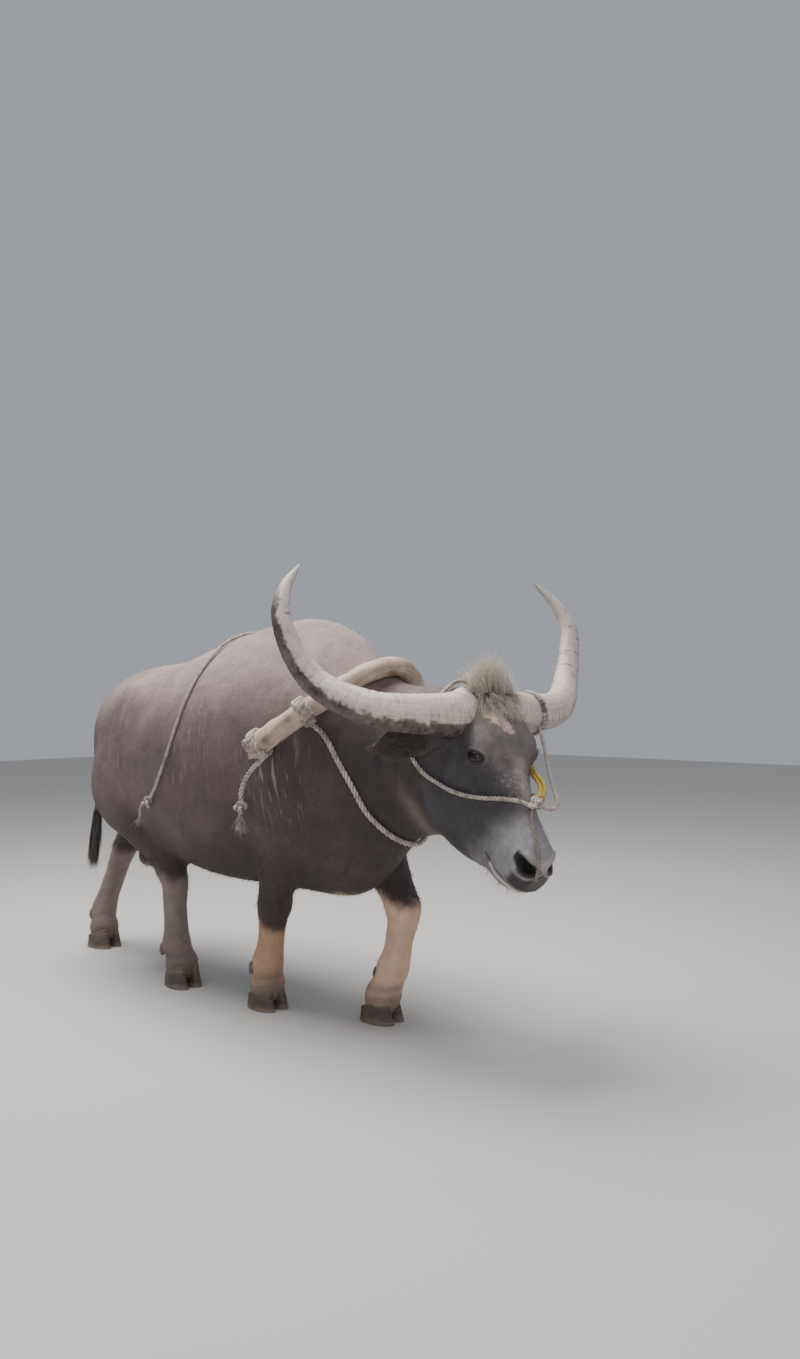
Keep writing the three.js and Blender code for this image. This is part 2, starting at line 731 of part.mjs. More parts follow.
// Ropes follow the body at their own radius, from routes of a few points
const flesh = bodyLoft(trunkRows, trunkRings, trunkSides, trunkSwellings, 3 * gap);
const yoke = largest(yokePole.subtract(flesh));
const throatRoute = [
  [641, -250, 1030],
  [700, -230, 980],
  [748, -218, 901],
  [792, -194, 815],
  [815, -160, 741],
  [845, -110, 681],
  [875, -58, 642],
  [887, 0, 628],
  [876, 58, 641],
  [846, 112, 680],
  [816, 164, 740],
  [793, 198, 815],
  [749, 222, 901],
  [701, 231, 980],
  [641, 252, 1030],
];
let throatRope = bar(throatRoute, 8, 26);
for (const at of [2.62, yokeEnd - 2.62]) {
  throatRope = throatRope.add(band(yokeRing, at, 0.16, 11));
}
throatRope = largest(throatRope.subtract(yokeSocket).subtract(flesh));

// A knot: a squat round of rope
function knot(x, y, z, size, lean = 0) {
  const turn = (angle, wide, high) =>
    new THREE.Matrix4()
      .makeRotationX(unit(angle))
      .multiply(new THREE.Matrix4().makeScale(wide * size, 0.8 * size, high * size))
      .setPosition(x, y, z);
  return solidFrom(new THREE.SphereGeometry(1, 8, 5), turn(lean, 0.9, 0.95));
}

// Short ends of the traces hang from the arms of the yoke, each with a knot
const traceRoute = [
  [530, -335, 912],
  [506, -328, 898],
  [474, -318, 883],
  [440, -310, 864],
  [410, -306, 840],
  [389, -305, 811],
  [376, -303, 782],
  [372, -300, 756],
];
const mirrored = (route) => route.map(([x, y, z]) => [x, -y, z]);
const traceKnot = [371, -302, 734];

// The back rope lies over the back and hangs down both flanks to a knot
const backHalf = [
  [-110, -331, 734],
  [-69, -342, 765],
  [-41, -347, 800],
  [14, -354, 880],
  [45, -349, 950],
  [64, -334, 1021],
  [72, -307, 1093],
  [75, -262, 1170],
  [78, -199, 1244],
  [79, -121, 1308],
];
const backRoute = [...backHalf, [80, 0, 1342], ...mirrored(backHalf).reverse()];
const backKnot = [-122, -334, 720];

// Finishes
const finish = (color, roughness) => new THREE.MeshStandardMaterial({ color, roughness, metalness: 0 });
const hide = finish(0x4a4340, 0.75);
const stocking = finish(0x8a745c, 0.8);
const hornFinish = finish(0xc9bda6, 0.55);
const clawFinish = finish(0x2f2c2a, 0.6);
const eyeFinish = finish(0x120d0a, 0.1);
const woodFinish = finish(0xb39a72, 0.8);
const ropeFinish = finish(0xc9c0ac, 0.9);
const tieFinish = finish(0xd8c62c, 0.7);

const buffalo = new THREE.Group();
const headGroup = new THREE.Group();
headGroup.applyMatrix4(headPlace);
buffalo.add(headGroup);

function add(parent, name, solid, material, least = fine) {
  const made = solid.simplify(least).getMesh();
  const geometry = new THREE.BufferGeometry();
  geometry.setAttribute("position", new THREE.BufferAttribute(made.vertProperties, 3));
  geometry.setIndex(new THREE.BufferAttribute(made.triVerts, 1));
  const mesh = new THREE.Mesh(geometry.toNonIndexed(), material);
  mesh.geometry.computeVertexNormals();
  mesh.name = name;
  parent.add(mesh);
}

add(buffalo, "torso", torsoSolid, hide);
add(buffalo, "neck", neckDone, hide);
add(headGroup, "head", headDone, hide);
add(buffalo, "tail", largest(tail()), hide);

for (const [side, name] of [[1, "left"], [-1, "right"]]) {
  add(headGroup, `horn_${name}`, horn(side), hornFinish);
  add(headGroup, `ear_${name}`, ear(side), hide);
  add(headGroup, `eye_${name}`, eye(side), eyeFinish);
}

for (const [leg, { path, hind }] of Object.entries(legs)) {
  const foot = new THREE.Group();
  const place = footPlace(feet[leg]);
  foot.applyMatrix4(place);
  buffalo.add(foot);
  let solid = limb(path, hind ? hindProfile : foreProfile, legRings, legSides);
  for (const [side, name] of [[1, "left"], [-1, "right"]]) {
    solid = solid.subtract(moved(claw(side, gap), place)).subtract(dewclaw(leg, side, gap));
    add(foot, `claw_${leg}_${name}`, claw(side), clawFinish);
    add(buffalo, `dewclaw_${leg}_${name}`, dewclaw(leg, side), clawFinish);
  }
  add(buffalo, `leg_${leg}`, largest(solid), stocking);
}

add(buffalo, "yoke", yoke, woodFinish, 3 * fine);
add(buffalo, "throat_rope", throatRope, ropeFinish, 3 * fine);
for (const [side, name] of [[-1, "right"], [1, "left"]]) {
  const at = ([x, y, z]) => [x, -side * y, z];
  const trace = bar(traceRoute.map(at), 7.5, 9).subtract(yokeSocket).subtract(flesh);
  const binding = band(yokeRing, side < 0 ? 0.55 : yokeEnd - 0.55, 0.14, 10);
  const traceEnd = knot(...at(traceKnot), 24, 10);
  add(buffalo, `trace_${name}`, largest(trace), ropeFinish, 3 * fine);
  const bound = binding.subtract(yokeSocket).subtract(flesh);
  add(buffalo, `trace_binding_${name}`, largest(bound.subtract(bar(traceRoute.map(at), 7.8, 9))), ropeFinish, 3 * fine);
  const traceSocket = bar(traceRoute.map(at), 7.8, 9);
  add(buffalo, `trace_knot_${name}`, largest(traceEnd.subtract(traceSocket).subtract(flesh)), ropeFinish, 3 * fine);
  const backSocket = bar(backRoute, 5.8, 48);
  const backEnd = knot(...at(backKnot), 20, -15).subtract(backSocket).subtract(flesh);
  add(buffalo, `back_knot_${name}`, largest(backEnd), ropeFinish, 3 * fine);
}
add(buffalo, "back_rope", bar(backRoute, 5.5, 48), ropeFinish, 3 * fine);

// Halter: one rope behind the horns, across the cheeks and over the bridge of the nose
const cheekHalf = [
  [81, 174, -256],
  [136, 158, -254],
  [187, 130, -237],
  [250, 119, -186],
  [303, 96, -125],
  [342, 59, -69],
  [369, 31, -38],
  [391, 11, -25],
];
const halterRoute = [
  [-72, -5, -76],
  [-79, -43, -80],
  [-39, -112, -102],
  [2, -148, -166],
  [41, -179, -245],
  ...mirrored(cheekHalf),
  ...[...cheekHalf].reverse().map(([x, y, z], i) => (i < 6 ? [x, y, z] : [x, y + 3, z])),
  [48, 190, -230],
  [12, 166, -162],
  [-24, 97, -103],
  [-60, 41, -77],
  [-72, 7, -76],
];
const headFlesh = bodyLoft(headRows, headRings, headSides, headSwellings, 3 * gap);
const halter = bar(halterRoute, 6, 42).add(knot(-76, 0, -74, 14));

// A rope from the nostril up to the bridge, and one from a loop round the left horn down to it
const noseRoute = [
  [583, -24, -112],
  [569, -25, -88],
  [539, -25, -61],
  [490, -23, -45],
  [439, -18, -36],
  [405, -8, -26],
];
const hornRopeRoute = [
  [94, 180, -56],
  [140, 166, -48],
  [190, 153, -45],
  [245, 141, -48],
  [300, 128, -48],
  [350, 114, -40],
  [392, 92, -28],
  [410, 62, -22],
  [406, 30, -20],
  [398, 14, -18],
];
const noseRope = bar(noseRoute, 5, 12).subtract(headFlesh);
const loop = band((t, more) => hornRing(1, t, more), 1.72, 0.1, 11).subtract(horn(1, gap));
const hornRope = bar(hornRopeRoute, 5.5, 22).add(loop).subtract(horn(1, gap));
const bridgeKnot = knot(392, 0, -16, 19, 90)
  .subtract(bar(halterRoute, 6 + gap, 42))
  .subtract(bar(noseRoute, 5 + gap, 12))
  .subtract(bar(hornRopeRoute, 5.5 + gap, 22))
  .subtract(headFlesh);
const tiePath = [[386, 24, -22], [352, 58, -30], [318, 70, -36], [290, 64, -40]];
const tieProfile = [[0, 5, 7, 0], [1, 12, 16, 0], [2, 14, 17, 0], [3, 4, 6, 0]];
const tie = limb(tiePath, tieProfile, 8, 8)
  .subtract(bar(halterRoute, 6 + gap, 42))
  .subtract(bar(hornRopeRoute, 5.5 + gap, 22))
  .subtract(knot(392, 0, -16, 19 + gap, 90))
  .subtract(headFlesh);
add(headGroup, "halter_rope", largest(halter.subtract(headFlesh)), ropeFinish, 3 * fine);
add(headGroup, "nose_rope", largest(noseRope), ropeFinish, 3 * fine);
add(headGroup, "horn_rope", largest(hornRope), ropeFinish, 3 * fine);
add(headGroup, "bridge_knot", largest(bridgeKnot), ropeFinish, 3 * fine);
add(headGroup, "yellow_tie", largest(tie), tieFinish, 3 * fine);

// The origin goes to the middle of the underside of the whole model's box
buffalo.scale.setScalar(grown);
const box = new THREE.Box3().setFromObject(buffalo, true);
buffalo.position.set(-(box.min.x + box.max.x) / 2, -(box.min.y + box.max.y) / 2, -box.min.z);

export default buffalo;
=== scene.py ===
# A swamp buffalo bull in a wooden yoke and ropes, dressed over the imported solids
import json
import math
import bmesh
import bpy
import numpy as np
from mathutils import Vector, kdtree
from mathutils.bvhtree import BVHTree
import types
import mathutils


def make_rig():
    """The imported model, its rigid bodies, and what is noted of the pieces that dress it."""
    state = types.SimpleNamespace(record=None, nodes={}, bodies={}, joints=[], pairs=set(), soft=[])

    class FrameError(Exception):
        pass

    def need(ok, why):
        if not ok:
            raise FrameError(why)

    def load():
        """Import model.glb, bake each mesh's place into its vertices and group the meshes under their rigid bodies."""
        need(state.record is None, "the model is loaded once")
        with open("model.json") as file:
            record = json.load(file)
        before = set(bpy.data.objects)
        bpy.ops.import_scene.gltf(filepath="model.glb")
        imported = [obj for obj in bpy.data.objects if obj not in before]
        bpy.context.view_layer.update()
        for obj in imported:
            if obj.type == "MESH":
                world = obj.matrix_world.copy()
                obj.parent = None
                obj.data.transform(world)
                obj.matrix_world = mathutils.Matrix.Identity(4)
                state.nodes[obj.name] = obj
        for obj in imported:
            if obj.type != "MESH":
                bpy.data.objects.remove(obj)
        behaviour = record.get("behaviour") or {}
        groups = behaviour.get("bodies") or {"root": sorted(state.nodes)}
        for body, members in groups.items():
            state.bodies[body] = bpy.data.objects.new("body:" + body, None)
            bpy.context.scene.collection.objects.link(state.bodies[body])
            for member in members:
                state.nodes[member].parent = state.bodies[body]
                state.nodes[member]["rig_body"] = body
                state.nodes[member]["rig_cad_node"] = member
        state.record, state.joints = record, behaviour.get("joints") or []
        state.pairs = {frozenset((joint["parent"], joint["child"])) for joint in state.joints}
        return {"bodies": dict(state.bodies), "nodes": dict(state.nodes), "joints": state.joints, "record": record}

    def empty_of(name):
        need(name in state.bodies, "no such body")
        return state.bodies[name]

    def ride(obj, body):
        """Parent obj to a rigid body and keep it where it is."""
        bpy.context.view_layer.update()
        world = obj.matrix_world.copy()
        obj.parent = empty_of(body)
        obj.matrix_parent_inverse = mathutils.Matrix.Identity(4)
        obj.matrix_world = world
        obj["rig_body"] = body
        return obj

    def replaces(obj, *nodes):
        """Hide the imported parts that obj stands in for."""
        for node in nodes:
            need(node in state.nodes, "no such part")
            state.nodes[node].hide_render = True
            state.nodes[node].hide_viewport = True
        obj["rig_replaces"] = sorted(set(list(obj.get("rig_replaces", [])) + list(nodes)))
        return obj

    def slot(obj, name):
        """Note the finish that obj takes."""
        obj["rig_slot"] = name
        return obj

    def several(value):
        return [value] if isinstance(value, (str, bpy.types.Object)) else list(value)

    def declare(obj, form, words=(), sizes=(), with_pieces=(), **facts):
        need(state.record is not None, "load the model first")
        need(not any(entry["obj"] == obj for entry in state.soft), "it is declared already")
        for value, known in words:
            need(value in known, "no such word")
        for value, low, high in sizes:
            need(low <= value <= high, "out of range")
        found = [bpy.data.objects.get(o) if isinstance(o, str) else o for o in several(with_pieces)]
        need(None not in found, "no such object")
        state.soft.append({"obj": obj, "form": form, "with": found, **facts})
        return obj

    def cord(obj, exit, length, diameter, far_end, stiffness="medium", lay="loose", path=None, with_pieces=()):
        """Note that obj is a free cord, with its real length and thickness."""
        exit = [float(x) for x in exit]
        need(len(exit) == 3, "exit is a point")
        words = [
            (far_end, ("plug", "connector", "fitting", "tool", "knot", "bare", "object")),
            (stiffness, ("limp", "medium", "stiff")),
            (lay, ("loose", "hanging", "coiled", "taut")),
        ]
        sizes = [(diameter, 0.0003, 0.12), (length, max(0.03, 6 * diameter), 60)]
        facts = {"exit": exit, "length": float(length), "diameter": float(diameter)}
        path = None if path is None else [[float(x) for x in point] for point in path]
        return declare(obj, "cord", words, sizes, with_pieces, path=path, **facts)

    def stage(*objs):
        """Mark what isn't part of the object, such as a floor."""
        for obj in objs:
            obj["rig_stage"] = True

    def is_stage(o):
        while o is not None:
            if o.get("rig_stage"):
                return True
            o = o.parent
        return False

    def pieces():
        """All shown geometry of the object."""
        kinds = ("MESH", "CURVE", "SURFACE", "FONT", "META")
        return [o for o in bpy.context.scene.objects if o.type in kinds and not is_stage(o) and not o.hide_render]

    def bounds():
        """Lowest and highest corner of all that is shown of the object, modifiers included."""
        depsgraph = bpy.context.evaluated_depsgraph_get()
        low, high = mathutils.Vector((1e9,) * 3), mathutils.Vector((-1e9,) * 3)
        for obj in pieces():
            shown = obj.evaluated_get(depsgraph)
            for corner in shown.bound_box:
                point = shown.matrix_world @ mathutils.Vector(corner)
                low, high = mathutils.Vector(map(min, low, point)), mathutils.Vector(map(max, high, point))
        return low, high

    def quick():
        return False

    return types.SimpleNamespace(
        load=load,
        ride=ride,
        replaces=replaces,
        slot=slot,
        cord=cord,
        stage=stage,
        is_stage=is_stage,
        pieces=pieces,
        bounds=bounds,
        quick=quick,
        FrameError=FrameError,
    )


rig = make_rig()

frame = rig.load()
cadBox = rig.bounds()
collection = bpy.context.scene.collection
print("solids loaded")

# Every table here is in millimetres in the animal's own frame: x forwards, y to its left, z up.
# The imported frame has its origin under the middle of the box, so points are moved by this.
stance = {
    "move": (-195.588, -51.137, 0.0),
    "poll": (1205.0, -24.0, 1132.0),
    "noseDown": 55.4,
    "headTurn": -15.6,
}
hands = ((1, "left"), (-1, "right"))


def toFrame(points):
    return (np.asarray(points, float) + np.array(stance["move"])) / 1000


def fromFrame(points):
    return np.asarray(points, float) * 1000 - np.array(stance["move"])


def turned(axis, degrees):  # a turn about one axis, as a matrix
    a = math.radians(degrees)
    i, j = {"x": (1, 2), "y": (2, 0), "z": (0, 1)}[axis]
    matrix = np.eye(3)
    matrix[i, i] = matrix[j, j] = math.cos(a)
    matrix[i, j], matrix[j, i] = -math.sin(a), math.sin(a)
    return matrix


headMatrix = turned("z", stance["headTurn"]) @ turned("y", stance["noseDown"])


def fromHead(points):  # head frame to animal frame
    return np.asarray(points, float) @ headMatrix.T + np.array(stance["poll"])


def toHead(points):
    return (np.asarray(points, float) - np.array(stance["poll"])) @ headMatrix


def mirrored(points, side):  # as they are on the left, or swapped to the right
    return np.asarray(points, float) * (1, side, 1)


def bothSides(half, top):  # a line up one side, over the top and down the other
    return half + [top] + [(x, -y, z) for x, y, z in reversed(half)]


# Camera: the photograph's place beside the road, in front and to the right of the animal
view = {"place": (3.099, -2.528, 1.106), "turn": 0.734, "pitch": 0.92, "lens": 27.49, "sensor": 36}
cameraData = bpy.data.cameras.new("camera")
cameraData.lens, cameraData.sensor_width = view["lens"], view["sensor"]
cameraData.clip_start, cameraData.clip_end = 0.05, 100
camera = bpy.data.objects.new("camera", cameraData)
collection.objects.link(camera)
camera.location = Vector(view["place"]) + Vector(stance["move"]) / 1000
ahead = Vector((-math.sin(view["turn"]), math.cos(view["turn"]), math.tan(math.radians(view["pitch"]))))
camera.rotation_mode = "QUATERNION"
camera.rotation_quaternion = ahead.to_track_quat("-Z", "Y")
bpy.context.scene.camera = camera


# Curves through tables, as in the solids
def rowAt(rows, at):
    rows = np.asarray(rows, float)
    at = np.atleast_1d(np.asarray(at, float))
    n = len(rows)
    i = np.clip(np.searchsorted(rows[:, 0], at, "left") - 1, 0, n - 2)
    here, after = rows[i], rows[i + 1]
    before, later = rows[np.maximum(i - 1, 0)], rows[np.minimum(i + 2, n - 1)]
    span = after[:, :1] - here[:, :1]
    t = (at[:, None] - here[:, :1]) / span
    late = t * t * (3 - 2 * t)
    leaving = (after - before) / (after[:, :1] - before[:, :1]) * span
    coming = (later - here) / (later[:, :1] - here[:, :1]) * span
    return here * (1 - late) + after * late + leaving * t * (1 - t) ** 2 - coming * t * t * (1 - t)


def spread(rows, count):
    keys = np.array([row[0] for row in rows], float)
    return np.interp(np.linspace(0, len(rows) - 1, count), np.arange(len(rows)), keys)


def rounded(value, power):
    return np.sign(value) * np.abs(value) ** (2 / power)


def smoothStep(low, high, value):
    t = np.clip((value - low) / (high - low), 0, 1)
    return t * t * (3 - 2 * t)


def hump(value, middle, width):  # a soft bell
    return np.exp(-(((value - middle) / width) ** 2))


def cloud(places, middle, reach):  # a soft ball
    return np.exp(-(((places - np.array(middle)) / np.array(reach)) ** 2).sum(-1))


def unitRows(v):
    return v / np.maximum(np.linalg.norm(v, axis=-1, keepdims=True), 1e-9)


def squareTo(way, other):  # what is left of a way square to another, at length one
    return unitRows(way - other * (way @ other))


def ringAngles(sides):
    return np.arange(sides) * 2 * math.pi / sides


def runAlong(line):  # how far along a line each of its points is
    return np.concatenate([[0], np.cumsum(np.linalg.norm(np.diff(line, axis=0), axis=1))])


def smoothPath(points, step):  # a smooth line through points, with a point every step
    points = np.asarray(points, float)
    key = np.concatenate([[0], np.cumsum(np.linalg.norm(np.diff(points, axis=0), axis=1) ** 0.5)])
    rows = np.column_stack([key, points])
    dense = rowAt(rows, np.linspace(0, key[-1], 60 * len(points)))[:, 1:]
    run = runAlong(dense)
    count = max(int(round(run[-1] / step)), 3)
    at = np.linspace(0, run[-1], count + 1)
    return np.column_stack([np.interp(at, run, dense[:, k]) for k in range(3)])


def wayAlong(track, at, step, first, last):  # the way a track runs at each place on it
    after, before = rowAt(track, np.minimum(at + step, last)), rowAt(track, np.maximum(at - step, first))
    return unitRows(after[:, 1:] - before[:, 1:])


# Cheap smooth noise on many points at once: a few crossed sine waves, turned at random
def waves(points, size, seed, turns=5):
    draw = np.random.default_rng(seed)
    total = np.zeros(len(points))
    for _ in range(turns):
        way = draw.normal(size=3)
        way /= np.linalg.norm(way)
        other = draw.normal(size=3)
        other /= np.linalg.norm(other)
        phase = draw.uniform(0, 6.28, 2)
        f = 6.28 / (size * draw.uniform(0.7, 1.5))
        total += np.sin(points @ way * f + phase[0] + 1.7 * np.sin(points @ other * f * 0.6 + phase[1]))
    return total / turns


def wavesOn(rings, size, seed):
    return waves(rings.reshape(-1, 3), size, seed).reshape(rings.shape[:2])


# Rings, lofts and meshes
def swell(places, middles, swellings):
    out = unitRows(places - middles)
    far = np.zeros(places.shape[:-1])
    for x, y, z, reachX, reachY, reachZ, high in swellings:
        for side in ((1,) if y == 0 else (1, -1)):
            far += high * cloud(places, (x, y * side, z), (reachX, reachY, reachZ))
    return places + out * far[..., None]


def bodyRings(form, rings, sides):
    rows = rowAt(form["rows"], spread(form["rows"], rings))
    _, topX, topZ, lowX, lowZ, half, shift, turn, narrowTop, narrowLow, power = (c[:, None] for c in rows.T)
    angle = ringAngles(sides)
    c, s = np.cos(angle)[None, :], np.sin(angle)[None, :]
    turn = np.radians(turn)
    narrow = 1 - narrowTop * np.maximum(s, 0) ** 2 - narrowLow * ((1 - s) / 2) ** 1.5
    wide = half * narrow * rounded(c, power)
    high = rounded(s, power)
    lean = (topX - lowX) / 2
    x = (topX + lowX) / 2 - np.sin(turn) * wide + lean * np.cos(turn) * high
    y = shift + np.cos(turn) * wide + lean * np.sin(turn) * high
    z = (topZ + lowZ) / 2 + (topZ - lowZ) / 2 * high
    middles = np.stack(np.broadcast_arrays((topX + lowX) / 2, shift, (topZ + lowZ) / 2), -1)
    return swell(np.stack([x, y, z], -1), middles, form["swellings"])


def limbRings(path, profile, rings, sides, power=2.2, at=None):
    track = np.column_stack([np.arange(len(path)), np.asarray(path, float)])
    at = spread(profile, rings) if at is None else np.asarray(at, float)
    row = rowAt(profile, at)
    down = wayAlong(track, at, 0.02, profile[0][0], profile[-1][0])
    fore = unitRows(np.array([1.0, 0, 0]) - down * down[:, :1])
    side = np.cross(down, fore)
    place = rowAt(track, at)[:, 1:] + fore * row[:, 3:4]
    angle = ringAngles(sides)
    c, s = rounded(np.cos(angle), power), rounded(np.sin(angle), power)
    deep = fore[:, None] * (row[:, 1:2] * c)[..., None]
    wide = side[:, None] * (row[:, 2:3] * s)[..., None]
    return place[:, None] + deep + wide


def loft(rings):  # points and faces of a closed skin over rings
    count, sides = rings.shape[:2]
    points = rings.reshape(-1, 3)
    points = np.vstack([points, rings[0].mean(0), rings[-1].mean(0)])
    i, j = np.meshgrid(np.arange(count - 1), np.arange(sides), indexing="ij")
    a = i * sides + j
    b = i * sides + (j + 1) % sides
    quads = np.stack([a, b, b + sides, a + sides], -1).reshape(-1, 4)
    j = np.arange(sides)
    start = np.column_stack([(j + 1) % sides, j, np.full(sides, len(points) - 2)])
    last = (count - 1) * sides
    end = np.column_stack([last + j, last + (j + 1) % sides, np.full(sides, len(points) - 1)])
    faces = [tuple(f) for f in quads.tolist()] + [tuple(f) for f in np.vstack([start, end]).tolist()]
    return points, faces


def withEnds(values, first, last):  # values on a loft's rings, and those at the middles of its two ends
    return np.concatenate([np.ravel(values), [first, last]])


def shadeSmooth(mesh):
    mesh.polygons.foreach_set("use_smooth", [True] * len(mesh.polygons))


def meshObject(name, points, faces):
    mesh = bpy.data.meshes.new(name)
    mesh.from_pydata(toFrame(points).tolist(), [], faces)
    mesh.validate()
    obj = bpy.data.objects.new(name, mesh)
    collection.objects.link(obj)
    shadeSmooth(mesh)
    return obj


def outwards(obj):  # turns the faces of closed pieces outwards
    bm = bmesh.new()
    bm.from_mesh(obj.data)
    bmesh.ops.recalc_face_normals(bm, faces=bm.faces)
    bm.to_mesh(obj.data)
    bm.free()
    return obj


def together(parts):  # several (points, faces) as one
    points, faces, first = [], [], 0
    for p, f in parts:
        points.append(p)
        faces += [tuple(k + first for k in face) for face in f]
        first += len(p)
    return np.vstack(points), faces


def settled(obj):  # the modifiers' result as a plain mesh on the same object
    graph = bpy.context.evaluated_depsgraph_get()
    made = bpy.data.meshes.new_from_object(obj.evaluated_get(graph))
    obj.modifiers.clear()
    old = obj.data
    obj.data = made
    bpy.data.meshes.remove(old)
    return obj


def remeshed(obj, voxel):
    join = obj.modifiers.new("join", "REMESH")
    join.mode, join.voxel_size = "VOXEL", voxel / 1000
    return settled(obj)


def softened(obj, rounds, group=""):
    soften = obj.modifiers.new("soften", "SMOOTH")
    soften.factor, soften.iterations, soften.vertex_group = 0.5, rounds, group
    return settled(obj)


def readRows(layer, key, width=3):
    out = np.empty(len(layer) * width, np.float32)
    layer.foreach_get(key, out)
    return out.reshape(-1, width)


def placesOf(obj):
    return fromFrame(readRows(obj.data.vertices, "co"))


def putPlaces(obj, points):
    obj.data.vertices.foreach_set("co", toFrame(points).astype(np.float32).ravel())
    obj.data.update()


def normalsOf(obj):
    return readRows(obj.data.vertex_normals, "vector").astype(float)


def facesOf(obj):
    return [tuple(f.vertices) for f in obj.data.polygons]


def trianglesOf(obj):
    return sum(len(f.vertices) - 2 for f in obj.data.polygons)


def weigh(obj, name, weights):
    group = obj.vertex_groups.new(name=name)
    for level in np.unique(np.round(weights, 1)):
        if level > 0:
            group.add(np.nonzero(np.round(weights, 1) == level)[0].tolist(), float(level), "REPLACE")


def attribute(obj, name, values):  # a number, a vector or a colour for each point
    values = np.asarray(values, np.float32)
    kinds = {1: ("FLOAT", "value"), 3: ("FLOAT_VECTOR", "vector"), 4: ("FLOAT_COLOR", "color")}
    kind, key = kinds[values.size // len(values)]
    layer = obj.data.attributes.get(name) or obj.data.attributes.new(name, kind, "POINT")
    layer.data.foreach_set(key, values.ravel())


def paint(obj, name, tone):
    attribute(obj, name, np.column_stack([tone, np.ones(len(tone))]))


def mixRows(base, colour, weight):
    return base + (np.asarray(colour) - base) * np.clip(weight, 0, 1)[:, None]


def plainRows(colour, count):
    return np.tile(np.array(colour), (count, 1))


def dress(obj, slot, *nodes):  # pieces are told their finish and what they stand for in one go
    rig.slot(obj, slot)
    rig.ride(obj, "root")
    if nodes:
        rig.replaces(obj, *nodes)
    return obj


# Nodes for materials and Geometry Nodes trees alike
def isSocket(value):
    return isinstance(value, bpy.types.NodeSocket)


def nodeMaker(tree):  # _2 stands for a node's third input, and Base_Color for Base Color
    def node(kind, settings=None, **inputs):
        new = tree.nodes.new(kind)
        for key, value in (settings or {}).items():
            setattr(new, key, value)
        for key, value in inputs.items():
            socket = new.inputs[int(key[1:])] if key[0] == "_" else new.inputs[key.replace("_", " ")]
            if isSocket(value):
                tree.links.new(value, socket)
            else:
                socket.default_value = value
        return new

    return node


def material(name, build):  # build gives what goes into the shader
    made = bpy.data.materials.new(name)
    made.use_nodes = True
    made.node_tree.nodes.clear()
    node = nodeMaker(made.node_tree)
    shader = node("ShaderNodeBsdfPrincipled", None, **build(node))
    node("ShaderNodeOutputMaterial", None, Surface=shader.outputs["BSDF"])
    return made


def blendColour(node, a, b, factor, mode="MIX"):
    a, b = (v if isSocket(v) else (*v, 1) for v in (a, b))
    mixed = node("ShaderNodeMix", {"data_type": "RGBA", "blend_type": mode}, _0=factor, _6=a, _7=b)
    return mixed.outputs[2]


def ramp(node, value, *stops):
    made = node("ShaderNodeValToRGB", None, Fac=value)
    bar = made.color_ramp
    while len(bar.elements) < len(stops):
        bar.elements.new(0.5)
    for element, (at, level) in zip(bar.elements, stops):
        element.position = at
        element.color = (level, level, level, 1)
    return made.outputs["Color"]


def toned(node, tone, factor, value, *stops):  # darker and lighter by a value
    return blendColour(node, tone, ramp(node, value, *stops), factor, "MULTIPLY")


def reckon(node, operation, a, b=0.0, c=0.0):
    return node("ShaderNodeMath", {"operation": operation}, _0=a, _1=b, _2=c).outputs[0]


def times(node, a, b):
    return reckon(node, "MULTIPLY", a, b)


def timesPlus(node, a, b, c):
    return reckon(node, "MULTIPLY_ADD", a, b, c)


def noise(node, place, scale, detail=4.0, roughness=0.6):
    made = node("ShaderNodeTexNoise", None, Vector=place, Scale=scale, Detail=detail, Roughness=roughness)
    return made.outputs["Fac"]


def cells(node, place, scale):  # the way to the nearest edge of a cell
    made = node("ShaderNodeTexVoronoi", {"feature": "DISTANCE_TO_EDGE"}, Vector=place, Scale=scale)
    return made.outputs["Distance"]


def onObject(node):
    return node("ShaderNodeTexCoord").outputs["Object"]


def stretched(node, place, scale, turn=(0.0, 0.0, 0.0)):
    return node("ShaderNodeMapping", None, Vector=place, Scale=scale, Rotation=turn).outputs[0]


def placeAt(node, x, y, z):
    return node("ShaderNodeCombineXYZ", None, X=x, Y=y, Z=z).outputs[0]


def ranged(node, value, low, high):
    return node("ShaderNodeMapRange", None, Value=value, _3=low, _4=high).outputs[0]


def bumped(node, height, strength, distance):
    return node("ShaderNodeBump", None, Height=height, Strength=strength, Distance=distance).outputs[0]


def painted(node, name, output="Color"):
    return node("ShaderNodeAttribute", {"attribute_name": name}).outputs[output]


def measured(node, *names):
    return [painted(node, name, "Fac") for name in names]


def newTree(name, inputs):
    tree = bpy.data.node_groups.new(name, "GeometryNodeTree")
    tree.interface.new_socket("Geometry", in_out="OUTPUT", socket_type="NodeSocketGeometry")
    for label, kind, value in [("Geometry", "Geometry", None)] + inputs + [("Material", "Material", None)]:
        socket = tree.interface.new_socket(label, in_out="INPUT", socket_type="NodeSocket" + kind)
        if value is not None:
            socket.default_value = value
    return tree, nodeMaker(tree), tree.nodes.new("NodeGroupInput").outputs


def stored(node, shape, name, value):
    kind = {"data_type": "FLOAT", "domain": "POINT"}
    return node("GeometryNodeStoreNamedAttribute", kind, Geometry=shape, Name=name, Value=value).outputs[0]


def ringOf(node, sides, radius):
    ring = node("GeometryNodeCurvePrimitiveCircle", {"mode": "RADIUS"}, Resolution=sides, Radius=radius)
    return ring.outputs[0]


def swept(node, line, along, ring, around, **more):  # a tube whose points know where they are on it
    line, ring = stored(node, line, "along", along), stored(node, ring, "around", around)
    tube = node("GeometryNodeCurveToMesh", None, Curve=line, Profile_Curve=ring, Fill_Caps=True, **more)
    return tube.outputs[0]


def scaledBy(node, vector, scale):
    return node("ShaderNodeVectorMath", {"operation": "SCALE"}, _0=vector, Scale=scale).outputs[0]


